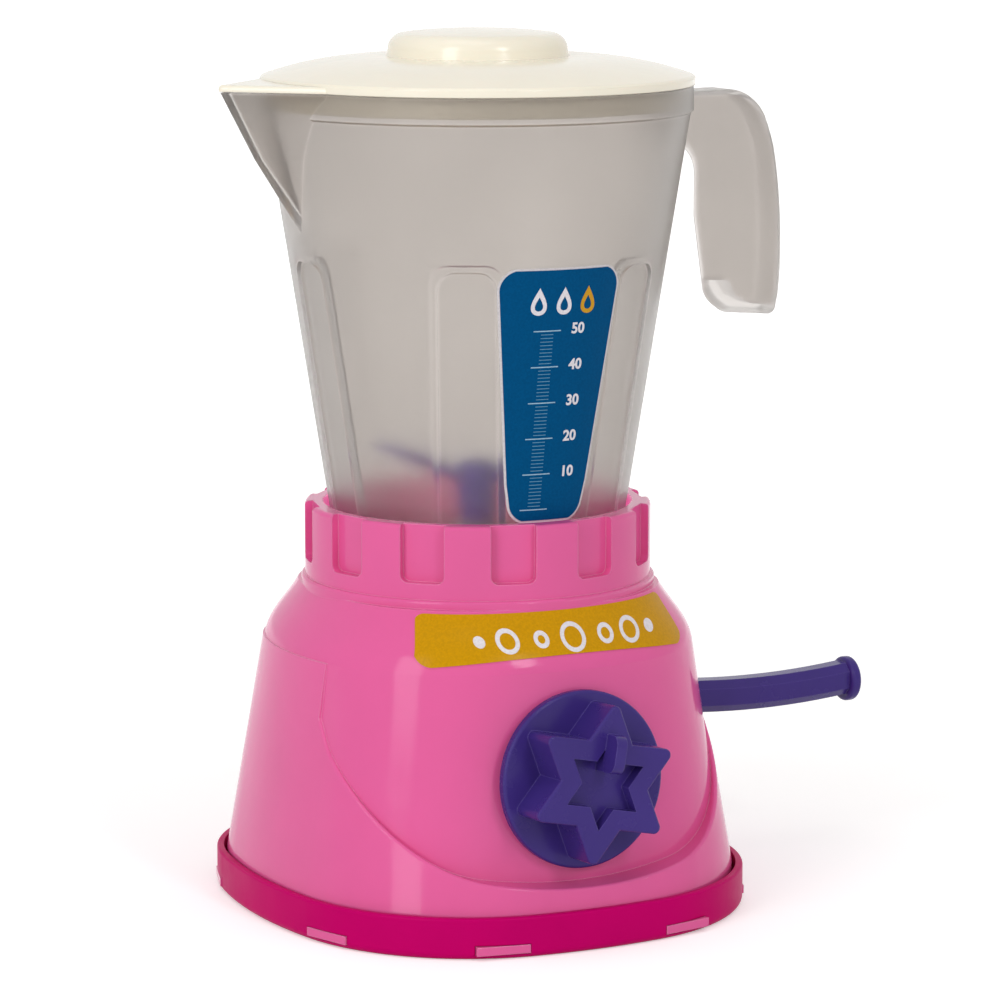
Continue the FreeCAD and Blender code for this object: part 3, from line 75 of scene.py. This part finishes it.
def add_camera():
    data = bpy.data.cameras.new("camera")
    data.sensor_width = 36.0
    data.lens = CAMERA_LENS
    data.shift_x = CAMERA_SHIFT_X
    data.clip_start = 0.05
    data.clip_end = 50.0
    camera = add_object("camera", data)
    camera.location = CAMERA_PLACE
    aim(camera, CAMERA_VIEW)
    bpy.context.scene.camera = camera


def add_softbox(name, place, target, width, height, power):
    data = bpy.data.lights.new(name, "AREA")
    data.shape = "RECTANGLE"
    data.size = width
    data.size_y = height
    data.energy = power
    lamp = add_object(name, data)
    lamp.location = place
    aim(lamp, Vector(target) - Vector(place))


def seen_directly(nodes, links):
    """1 for rays that look at a background from the camera, in gloss or through glass, else 0."""
    path = nodes.new("ShaderNodeLightPath")
    total = path.outputs["Is Camera Ray"]
    for name in ("Is Glossy Ray", "Is Transmission Ray"):
        either = nodes.new("ShaderNodeMath")
        either.operation = "MAXIMUM"
        links.new(total, either.inputs[0])
        links.new(path.outputs[name], either.inputs[1])
        total = either.outputs[0]
    return total


def add_world():
    """Soft room for light; white where the camera, gloss or glass looks at it."""
    world = bpy.data.worlds.new("studio")
    bpy.context.scene.world = world
    world.use_nodes = True
    nodes, links = world.node_tree.nodes, world.node_tree.links
    nodes.clear()
    room = nodes.new("ShaderNodeBackground")
    room.inputs["Color"].default_value = ROOM_COLOUR
    room.inputs["Strength"].default_value = ROOM_STRENGTH
    seen = nodes.new("ShaderNodeBackground")
    seen.inputs["Color"].default_value = WHITE
    seen.inputs["Strength"].default_value = 1.0
    mix = nodes.new("ShaderNodeMixShader")
    out = nodes.new("ShaderNodeOutputWorld")
    links.new(seen_directly(nodes, links), mix.inputs["Fac"])
    links.new(room.outputs[0], mix.inputs[1])
    links.new(seen.outputs[0], mix.inputs[2])
    links.new(mix.outputs[0], out.inputs["Surface"])


def add_floor():
    """Level pale floor that keeps the object's shadow and turns white away from it."""
    mesh = bpy.data.meshes.new("floor")
    bm = bmesh.new()
    bmesh.ops.create_circle(bm, cap_ends=True, segments=96, radius=FLOOR_RADIUS)
    bm.to_mesh(mesh)
    bm.free()
    floor = add_object("floor", mesh)
    material, nodes, links, shader = new_material("floor_white")
    shader.inputs["Base Color"].default_value = FLOOR_COLOUR
    shader.inputs["Roughness"].default_value = 0.9
    shader.inputs["Specular IOR Level"].default_value = 0.1
    shader.inputs["Emission Color"].default_value = WHITE
    place = nodes.new("ShaderNodeTexCoord")
    distance = nodes.new("ShaderNodeVectorMath")
    distance.operation = "LENGTH"
    links.new(place.outputs["Object"], distance.inputs[0])
    white = range_node(nodes, links, distance.outputs["Value"],
                       FLOOR_NEAR_GLOW, FLOOR_FAR_GLOW, FLOOR_NEAR, FLOOR_FAR)
    glow = nodes.new("ShaderNodeMath")
    glow.operation = "MULTIPLY"
    links.new(seen_directly(nodes, links), glow.inputs[0])
    links.new(white.outputs["Result"], glow.inputs[1])
    links.new(glow.outputs[0], shader.inputs["Emission Strength"])
    noise = nodes.new("ShaderNodeTexNoise")
    noise.inputs["Scale"].default_value = 3.0
    bumpy(nodes, links, shader, noise, strength=0.02, distance=1 * MM)
    mesh.materials.append(material)


# ---------------------------------------------------------------- materials

EDGE_RADIUS = 0.5 * MM
SCATTER_DEPTH = 4 * MM
PLASTIC_IOR = 1.49

# Below a roughness of about 0.28 the denoiser leaves specks on the jug.
JUG_GREY = (0.665, 0.635, 0.61, 1)
# Paler tint for the jug's edges: a painted highlight, standing in for light carried along the thick plastic.
JUG_EDGE_HIGHLIGHT = (1.0, 0.96, 0.95, 1)
JUG_IOR = 1.3
JUG_ROUGHNESS = (0.285, 0.33)
STEEL_DARK = (0.42, 0.43, 0.45, 1)
STEEL_LIGHT = (0.62, 0.63, 0.64, 1)


def linear(red, green, blue):
    """Colour written as 0 to 255 display values."""
    values = []
    for part in (red, green, blue):
        part /= 255.0
        values.append(part / 12.92 if part <= 0.04045 else ((part + 0.055) / 1.055) ** 2.4)
    return (*values, 1.0)


def shade(colour, factor):
    return tuple(min(1.0, part * factor) for part in colour[:3]) + (1.0,)


def new_material(name):
    material = bpy.data.materials.new(name)
    material.use_nodes = True
    tree = material.node_tree
    return material, tree.nodes, tree.links, tree.nodes["Principled BSDF"]


def noise_node(nodes, links, scale, detail, roughness=0.5, stretch=(1, 1, 1)):
    """Noise in object space; scale is in waves per metre."""
    place = nodes.new("ShaderNodeTexCoord")
    mapping = nodes.new("ShaderNodeMapping")
    mapping.inputs["Scale"].default_value = stretch
    noise = nodes.new("ShaderNodeTexNoise")
    noise.inputs["Scale"].default_value = scale
    noise.inputs["Detail"].default_value = detail
    noise.inputs["Roughness"].default_value = roughness
    links.new(place.outputs["Object"], mapping.inputs["Vector"])
    links.new(mapping.outputs["Vector"], noise.inputs["Vector"])
    return noise


def ramp_node(nodes, links, noise, stops):
    """Colours that follow a noise."""
    ramp = nodes.new("ShaderNodeValToRGB")
    ramp.color_ramp.elements.remove(ramp.color_ramp.elements[1])
    first = ramp.color_ramp.elements[0]
    first.position, first.color = stops[0]
    for position, colour in stops[1:]:
        element = ramp.color_ramp.elements.new(position)
        element.color = colour
    links.new(noise.outputs["Fac"], ramp.inputs["Fac"])
    return ramp


def range_node(nodes, links, source, low, high, from_low=0.3, from_high=0.7):
    spread = nodes.new("ShaderNodeMapRange")
    spread.inputs["From Min"].default_value = from_low
    spread.inputs["From Max"].default_value = from_high
    spread.inputs["To Min"].default_value = low
    spread.inputs["To Max"].default_value = high
    links.new(source, spread.inputs["Value"])
    return spread


def uneven_gloss(nodes, links, shader, noise, low, high):
    """Roughness that follows a noise."""
    spread = range_node(nodes, links, noise.outputs["Fac"], low, high)
    links.new(spread.outputs["Result"], shader.inputs["Roughness"])


def bumpy(nodes, links, shader, noise, strength, distance, under=None):
    """Bumps that follow a noise, on top of another node's normal where one is given."""
    bump = nodes.new("ShaderNodeBump")
    bump.inputs["Strength"].default_value = strength
    bump.inputs["Distance"].default_value = distance
    links.new(noise.outputs["Fac"], bump.inputs["Height"])
    if under:
        links.new(under.outputs["Normal"], bump.inputs["Normal"])
    links.new(bump.outputs["Normal"], shader.inputs["Normal"])


def rubbed_edges(nodes, links, shader, tint, wear_and_highlight_tint, radius, sharp=0.72, flat=0.985):
    """Blend a lighter tint into another along edges, found where the softened normal turns away from the
    face. The lighter edges are partly wear and partly painted highlight.

    Sharp and flat are the cosines of that turn with the whole blend and with none. Returns the
    node with the softened normal.
    """
    soft = nodes.new("ShaderNodeBevel")
    soft.samples = 4
    soft.inputs["Radius"].default_value = radius
    face = nodes.new("ShaderNodeNewGeometry")
    turn = nodes.new("ShaderNodeVectorMath")
    turn.operation = "DOT_PRODUCT"
    links.new(soft.outputs["Normal"], turn.inputs[0])
    links.new(face.outputs["Normal"], turn.inputs[1])
    edge = range_node(nodes, links, turn.outputs["Value"], 1.0, 0.0, sharp, flat)
    # Painted highlight, partly wear: edges are mixed towards the lighter tint.
    edge_tint_mix = nodes.new("ShaderNodeMix")
    edge_tint_mix.data_type = "RGBA"
    links.new(edge.outputs["Result"], edge_tint_mix.inputs["Factor"])
    links.new(tint.outputs["Color"], edge_tint_mix.inputs["A"])
    edge_tint_mix.inputs["B"].default_value = wear_and_highlight_tint
    links.new(edge_tint_mix.outputs["Result"], shader.inputs["Base Color"])
    return soft


def moulded(name, colour, roughness, mottle, ripple, shine=0.5, glow=0.0, painted_glow=0.0, wear_and_highlight_tint=None):
    """Injection-moulded plastic: colour drift, uneven gloss, orange-peel ripple, soft edges, and lighter
    edges that are partly wear and partly painted highlight.
    """
    material, nodes, links, shader = new_material(name)
    drift = noise_node(nodes, links, scale=34.0, detail=4.0)
    tint = ramp_node(nodes, links, drift, [
        (0.3, shade(colour, 1 - mottle)), (0.5, colour), (0.72, shade(colour, 1 + mottle))])
    soft = rubbed_edges(nodes, links, shader, tint, wear_and_highlight_tint or shade(colour, 1.1), EDGE_RADIUS)
    gloss = noise_node(nodes, links, scale=90.0, detail=5.0, roughness=0.6)
    uneven_gloss(nodes, links, shader, gloss, roughness * 0.82, roughness * 1.25)
    shader.inputs["IOR"].default_value = PLASTIC_IOR
    shader.inputs["Specular IOR Level"].default_value = shine
    if glow:
        shader.inputs["Subsurface Weight"].default_value = glow
        shader.inputs["Subsurface Scale"].default_value = SCATTER_DEPTH
        shader.inputs["Subsurface Radius"].default_value = (1.0, 0.6, 0.5)
    # Painted glow: the surface sheds its own colour as light, though it is no lamp.
    if painted_glow:
        shader.inputs["Emission Color"].default_value = colour
        shader.inputs["Emission Strength"].default_value = painted_glow
    peel = noise_node(nodes, links, scale=420.0, detail=2.0)
    bumpy(nodes, links, shader, peel, strength=ripple, distance=0.4 * MM, under=soft)
    return material


def frosted(name):
    """Milky polypropylene: what is behind it shows blurred, and lamps shine through to the inside."""
    material, nodes, links, shader = new_material(name)
    drift = noise_node(nodes, links, scale=22.0, detail=4.0)
    tint = ramp_node(nodes, links, drift, [(0.3, shade(JUG_GREY, 0.96)), (0.7, shade(JUG_GREY, 1.03))])
    # Paler edges are a painted highlight.
    rubbed_edges(nodes, links, shader, tint, JUG_EDGE_HIGHLIGHT, 3 * EDGE_RADIUS, sharp=0.86, flat=0.997)
    cloud = noise_node(nodes, links, scale=60.0, detail=2.0)
    uneven_gloss(nodes, links, shader, cloud, *JUG_ROUGHNESS)
    shader.inputs["IOR"].default_value = JUG_IOR
    shader.inputs["Transmission Weight"].default_value = 0.95
    peel = noise_node(nodes, links, scale=240.0, detail=2.0)
    bumpy(nodes, links, shader, peel, strength=0.04, distance=0.3 * MM)
    path = nodes.new("ShaderNodeLightPath")
    clear = nodes.new("ShaderNodeBsdfTransparent")
    clear.inputs["Color"].default_value = WHITE
    mix = nodes.new("ShaderNodeMixShader")
    links.new(path.outputs["Is Shadow Ray"], mix.inputs["Fac"])
    links.new(shader.outputs[0], mix.inputs[1])
    links.new(clear.outputs[0], mix.inputs[2])
    links.new(mix.outputs[0], nodes["Material Output"].inputs["Surface"])
    return material


def film(name, colour, roughness, shine=0.3):
    """Printed sticker film, with the print's fine grain and slight waves where it wraps."""
    material, nodes, links, shader = new_material(name)
    grain = noise_node(nodes, links, scale=1500.0, detail=2.0)
    tint = ramp_node(nodes, links, grain, [(0.35, shade(colour, 0.93)), (0.65, shade(colour, 1.06))])
    links.new(tint.outputs["Color"], shader.inputs["Base Color"])
    smear = noise_node(nodes, links, scale=120.0, detail=3.0)
    uneven_gloss(nodes, links, shader, smear, roughness * 0.8, roughness * 1.3)
    shader.inputs["Specular IOR Level"].default_value = shine
    waves = noise_node(nodes, links, scale=70.0, detail=2.0)
    bumpy(nodes, links, shader, waves, strength=0.12, distance=0.6 * MM)
    return material


def steel(name):
    """Zinc-plated steel with turning marks."""
    material, nodes, links, shader = new_material(name)
    shader.inputs["Metallic"].default_value = 1.0
    marks = noise_node(nodes, links, scale=900.0, detail=4.0, roughness=0.6, stretch=(1, 1, 6))
    tint = ramp_node(nodes, links, marks, [(0.3, STEEL_DARK), (0.7, STEEL_LIGHT)])
    links.new(tint.outputs["Color"], shader.inputs["Base Color"])
    uneven_gloss(nodes, links, shader, marks, 0.26, 0.42)
    bumpy(nodes, links, shader, marks, strength=0.08, distance=0.2 * MM)
    return material


# The lighter edge colours below are partly wear and partly painted highlight.
PINK = linear(226, 94, 156)
PINK_WEAR_AND_HIGHLIGHT = linear(242, 150, 192)
MAGENTA = linear(194, 0, 102)
PURPLE = linear(60, 43, 122)
PURPLE_WEAR_AND_HIGHLIGHT = linear(96, 80, 160)
BLADE_PURPLE = linear(84, 58, 168)
CREAM = linear(244, 237, 219)
NATURAL = linear(232, 230, 222)
YELLOW = linear(200, 146, 2)
BLUE = linear(0, 76, 124)
PRINT_WHITE = linear(222, 218, 224)
MARGIN_GREY = linear(206, 202, 205)
SOFT_PRINT = linear(150, 184, 206)
FAINT_PRINT = linear(92, 142, 174)

MATERIALS = {
    "shell": moulded("shell_pink", PINK, roughness=0.11, mottle=0.03, ripple=0.03,
                     shine=0.22, glow=0.05, wear_and_highlight_tint=PINK_WEAR_AND_HIGHLIGHT),
    # Inside of the collar: pink with a painted glow.
    "shell_painted_glow": moulded("shell_pink_painted_glow", PINK, roughness=0.3, mottle=0.03, ripple=0.03,
                            shine=0.2, painted_glow=0.5),
    "tray": moulded("tray_magenta", MAGENTA, roughness=0.34, mottle=0.05, ripple=0.06, shine=0.03),
    "purple": moulded("purple_plastic", PURPLE, roughness=0.24, mottle=0.08, ripple=0.05,
                      shine=0.2, wear_and_highlight_tint=PURPLE_WEAR_AND_HIGHLIGHT),
    "blade": moulded("blade_purple", BLADE_PURPLE, roughness=0.3, mottle=0.08, ripple=0.05, shine=0.2),
    "cream": moulded("lid_cream", CREAM, roughness=0.16, mottle=0.02, ripple=0.03, glow=0.08),
    # Lid's plug: painted shade, a darker copy of the cream.
    "cream_painted_shade": moulded("lid_cream_painted_shade", shade(CREAM, 0.62), roughness=0.4, mottle=0.02, ripple=0.03),
    "natural": moulded("inner_natural", NATURAL, roughness=0.42, mottle=0.03, ripple=0.08),
    "frosted": frosted("jug_frosted"),
    "yellow": film("sticker_yellow", YELLOW, roughness=0.2, shine=0.08),
    "blue": film("sticker_blue", BLUE, roughness=0.4, shine=0.03),
    "print": film("sticker_print", PRINT_WHITE, roughness=0.4),
    "margin": film("sticker_margin", MARGIN_GREY, roughness=0.4),
    "soft_print": film("sticker_soft_print", SOFT_PRINT, roughness=0.4, shine=0.1),
    "faint_print": film("sticker_faint_print", FAINT_PRINT, roughness=0.4, shine=0.1),
    "gold_print": film("sticker_gold_print", YELLOW, roughness=0.35),
    "steel": steel("screw_steel"),
}

FINISHES = {
    "shell": ("base_shell",),
    "tray": ("bottom_tray",),
    "purple": ("lever", "knob"),
    "blade": ("blade",),
    "cream": ("lid",),
    "natural": ("mechanism_plate", "drive_spindle", "blade_bush", "blade_coupling", "blade_washer"),
    "frosted": ("jug",),
    "yellow": ("base_label",),
    "blue": ("jug_label",),
    "steel": ("plate_screws", "spindle_clip", "lever_washer", "lever_screw", "knob_washer", "knob_screw"),
}

# The inside of the collar has a painted glow: its finish sheds pink light, standing in for daylight let
# through the pink wall.
COLLAR_RADIUS = 44.0 * MM
COLLAR_FLOOR = 93.0 * MM
COLLAR_TOP = 113.2 * MM

# The lid's plug, below its top, is satin and has painted shade: it is the same cream, darkened.
PLUG_RADIUS = 58.5 * MM
PLUG_LOW = 200.0 * MM
PLUG_TOP = 231.0 * MM


def line_inside(node, material, radius, low, high):
    """A finish of its own for the faces within a radius of the upright axis, between two heights."""
    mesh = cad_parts[node].data
    mesh.materials.append(MATERIALS[material])
    for face in mesh.polygons:
        x, y, z = face.center
        if low < z < high and math.hypot(x, y) < radius:
            face.material_index = 1


def finish_nodes():
    for key, names in FINISHES.items():
        for name in names:
            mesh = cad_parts[name].data
            mesh.materials.clear()
            mesh.materials.append(MATERIALS[key])
    line_inside("base_shell", "shell_painted_glow", COLLAR_RADIUS, COLLAR_FLOOR, COLLAR_TOP)
    line_inside("lid", "cream_painted_shade", PLUG_RADIUS, PLUG_LOW, PLUG_TOP)


# ---------------------------------------------------------------- print on the stickers

# Print is a thin solid from just under its wall's surface to just above it, bent round in short slices.
SUNK = -0.04 * MM
PROUD = 0.07 * MM
MARGIN_PROUD = 0.14 * MM
SLICE = 0.8 * MM
RAY_START_Y = -0.2

SCALE_X = -4.4 * MM
SCALE_LOW = 116.7 * MM
SCALE_STEP = 10.0 * MM
SCALE_STEPS = 5
UNITS_PER_STEP = 10
TICK_LENGTH = 7.9 * MM
TICK_WIDTH = 0.3 * MM
FINE_TICK_LENGTH = 3.6 * MM
FINE_TICK_WIDTH = 0.2 * MM

NUMBER_X = 4.9 * MM
NUMBER_RISE = 0.3 * MM
NUMBER_SIZE = 4.1 * MM
NUMBER_BOLDNESS = 0.12 * MM

# A drop's widths are shares of its height. Its eye is a smaller drop a little lower.
DROPS_Z = 174.9 * MM
DROPS_PITCH = 7.4 * MM
DROP_HEIGHT = 7.6 * MM
DROP_EYE = 0.52
DROP_EYE_LOWER = 0.7 * MM
DROP_HALF_WIDTH = 0.414
DROP_TAPER = 1.4
DROP_POINTS = 48

# Bubbles in mm: x and radius. One too small for a hole in its middle is a dot.
BUBBLES = ((-25.0, 1.5), (-17.5, 3.2), (-8.0, 2.2), (1.5, 3.8), (12.0, 2.6), (20.5, 3.4), (28.0, 1.7))
BUBBLES_Z = 83.0 * MM
BUBBLE_STROKE = 1.15 * MM
BUBBLE_HOLE_LEAST = 0.6 * MM
CIRCLE_POINTS = 36

# Corners of the jug's sticker in mm: x, z and the radius of the arc to the next corner, 0 for a straight.
JUG_STICKER = ((-7.6, 113.6, 0), (6.6, 113.6, 6.0), (10.2, 117.6, 0), (11.4, 124.0, 0),
               (17.2, 177.6, 5.5), (13.4, 183.4, 0), (-14.4, 183.4, 5.5), (-18.2, 177.6, 0),
               (-12.4, 124.0, 0), (-11.2, 117.6, 6.0))
ARC_STEPS = 8
MARGIN_WIDTH = 0.62 * MM
MARGIN_OVERLAP = 0.05 * MM


def new_piece(name, bm, material, body):
    """Closed mesh as a piece of its own on a body."""
    bmesh.ops.remove_doubles(bm, verts=bm.verts, dist=1e-7)
    bmesh.ops.recalc_face_normals(bm, faces=bm.faces)
    mesh = bpy.data.meshes.new(name)
    bm.to_mesh(mesh)
    bm.free()
    piece = add_object(name, mesh)
    mesh.materials.append(MATERIALS[material])
    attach(piece, body)


def wall_of(node):
    bm = bmesh.new()
    bm.from_mesh(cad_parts[node].data)
    tree = BVHTree.FromBMesh(bm)
    bm.free()
    return tree


def lay_on(bm, wall):
    """Bend a flat print, drawn in X and Z with its thickness along Y, round the wall that faces -Y."""
    start = min(vertex.co.x for vertex in bm.verts)
    width = max(vertex.co.x for vertex in bm.verts) - start
    for count in range(1, int(width / SLICE) + 1):
        bmesh.ops.bisect_plane(bm, geom=bm.verts[:] + bm.edges[:] + bm.faces[:],
                               plane_co=(start + count * SLICE, 0, 0), plane_no=(1, 0, 0))
    for vertex in bm.verts:
        x, lift, z = vertex.co
        place, normal, _, _ = wall.ray_cast(Vector((x, RAY_START_Y, z)), Vector((0, 1, 0)))
        vertex.co = place + normal * lift


def plate(bm, outline):
    """Thin solid over a closed outline of (x, z) points."""
    under = [bm.verts.new((x, SUNK, z)) for x, z in outline]
    over = [bm.verts.new((x, PROUD, z)) for x, z in outline]
    bm.faces.new(under)
    bm.faces.new(over[::-1])
    for a in range(len(outline)):
        b = (a + 1) % len(outline)
        bm.faces.new((under[b], under[a], over[a], over[b]))


def band(bm, outer, inner, high=PROUD):
    """Thin solid between two closed outlines with the same number of points."""
    rings = [[bm.verts.new((x, y, z)) for x, z in outline]
             for outline, y in ((outer, SUNK), (outer, high), (inner, high), (inner, SUNK))]
    for a in range(len(outer)):
        b = (a + 1) % len(outer)
        for ring, beside in zip(rings, rings[1:] + rings[:1]):
            bm.faces.new((ring[a], ring[b], beside[b], beside[a]))


def turns(count):
    return [math.tau * step / count for step in range(count)]


def tick(z, length, width):
    right, up = length / 2, width / 2
    return [(SCALE_X - right, z - up), (SCALE_X + right, z - up),
            (SCALE_X + right, z + up), (SCALE_X - right, z + up)]


def circle(x, z, radius):
    return [(x + radius * math.cos(turn), z + radius * math.sin(turn)) for turn in turns(CIRCLE_POINTS)]


def drop(x, z, height):
    """Teardrop with its point up."""
    points = []
    for turn in turns(DROP_POINTS):
        side = DROP_HALF_WIDTH * height * math.sin(turn) * math.sin(turn / 2) ** DROP_TAPER
        points.append((x + side, z + height / 2 * math.cos(turn)))
    return points


def arc_between(here, after, radius):
    """Points of an arc that swings out between two corners, without the corners."""
    chord = after - here
    inwards = Vector((-chord.y, chord.x)).normalized()
    centre = (here + after) / 2 + inwards * math.sqrt(radius ** 2 - (chord.length / 2) ** 2)
    sweep = 2 * math.asin(chord.length / 2 / radius)
    first = math.atan2(here.y - centre.y, here.x - centre.x)
    along = [first + sweep * step / ARC_STEPS for step in range(1, ARC_STEPS)]
    return [centre + radius * Vector((math.cos(turn), math.sin(turn))) for turn in along]


def sticker_outline(grow):
    """Outline of the jug's sticker with its rounded corners, moved outwards by a distance."""
    points = []
    for index, (x, z, radius) in enumerate(JUG_STICKER):
        next_x, next_z, _ = JUG_STICKER[(index + 1) % len(JUG_STICKER)]
        here, after = Vector((x, z)) * MM, Vector((next_x, next_z)) * MM
        points.append(here)
        if radius:
            points += arc_between(here, after, radius * MM)
    moved = []
    for index, here in enumerate(points):
        before, after = points[index - 1], points[(index + 1) % len(points)]
        outwards = Vector(((after - before).y, -(after - before).x)).normalized()
        moved.append(tuple(here + outwards * grow))
    return moved


def add_number(bm, value, z):
    """Numeral in plain type, thickened, with its thickness turned along Y."""
    curve = bpy.data.curves.new("numeral", "FONT")
    curve.body = str(value)
    curve.size = NUMBER_SIZE
    curve.offset = NUMBER_BOLDNESS
    curve.extrude = (PROUD - SUNK) / 2
    curve.resolution_u = 4
    curve.align_x = "CENTER"
    curve.align_y = "CENTER"
    holder = bpy.data.objects.new("numeral", curve)
    mesh = bpy.data.meshes.new_from_object(holder)
    for vertex in mesh.vertices:
        x, y, lift = vertex.co
        vertex.co = (x + NUMBER_X, lift + (PROUD + SUNK) / 2, y + z)
    bm.from_mesh(mesh)
    bpy.data.objects.remove(holder)
    bpy.data.curves.remove(curve)
    bpy.data.meshes.remove(mesh)


def add_jug_print():
    """Scale with its numbers, a row of drops above it and the sticker's pale margin."""
    long_ticks, fine_ticks, numbers = bmesh.new(), bmesh.new(), bmesh.new()
    for step in range(SCALE_STEPS + 1):
        z = SCALE_LOW + step * SCALE_STEP
        plate(long_ticks, tick(z, TICK_LENGTH, TICK_WIDTH))
        if step:
            add_number(numbers, step * UNITS_PER_STEP, z + NUMBER_RISE)
            for count in range(1, UNITS_PER_STEP):
                low = z - count * SCALE_STEP / UNITS_PER_STEP
                plate(fine_ticks, tick(low, FINE_TICK_LENGTH, FINE_TICK_WIDTH))
    white_drops, gold_drops = bmesh.new(), bmesh.new()
    for bm, column in ((white_drops, -1), (white_drops, 0), (gold_drops, 1)):
        x = column * DROPS_PITCH
        eye = drop(x, DROPS_Z - DROP_EYE_LOWER, DROP_HEIGHT * DROP_EYE)
        band(bm, drop(x, DROPS_Z, DROP_HEIGHT), eye)
    sticker = wall_of("jug_label")
    for bm, name, material in ((long_ticks, "jug_scale_ticks", "soft_print"),
                               (fine_ticks, "jug_scale_fine_ticks", "faint_print"),
                               (numbers, "jug_scale_numbers", "print"),
                               (white_drops, "jug_sticker_drops", "print"),
                               (gold_drops, "jug_sticker_gold_drop", "gold_print")):
        lay_on(bm, sticker)
        new_piece(name, bm, material, "jug")
    margin = bmesh.new()
    band(margin, sticker_outline(MARGIN_WIDTH), sticker_outline(-MARGIN_OVERLAP), MARGIN_PROUD)
    lay_on(margin, wall_of("jug"))
    new_piece("jug_sticker_margin", margin, "margin", "jug")


def add_base_print():
    """Row of bubbles, rings and dots, in the middle of the yellow sticker."""
    bubbles = bmesh.new()
    for x, radius in BUBBLES:
        outer = radius * MM
        inner = outer - BUBBLE_STROKE
        if inner > BUBBLE_HOLE_LEAST:
            band(bubbles, circle(x * MM, BUBBLES_Z, outer), circle(x * MM, BUBBLES_Z, inner))
        else:
            plate(bubbles, circle(x * MM, BUBBLES_Z, outer))
    lay_on(bubbles, wall_of("base_label"))
    new_piece("base_sticker_bubbles", bubbles, "print", "base")


# ---------------------------------------------------------------- build

add_camera()
add_world()
add_floor()
for lamp_name, settings in SOFTBOXES.items():
    add_softbox(lamp_name, *settings)
finish_nodes()
add_jug_print()
add_base_print()

scene = bpy.context.scene
scene.view_settings.view_transform = "Standard"
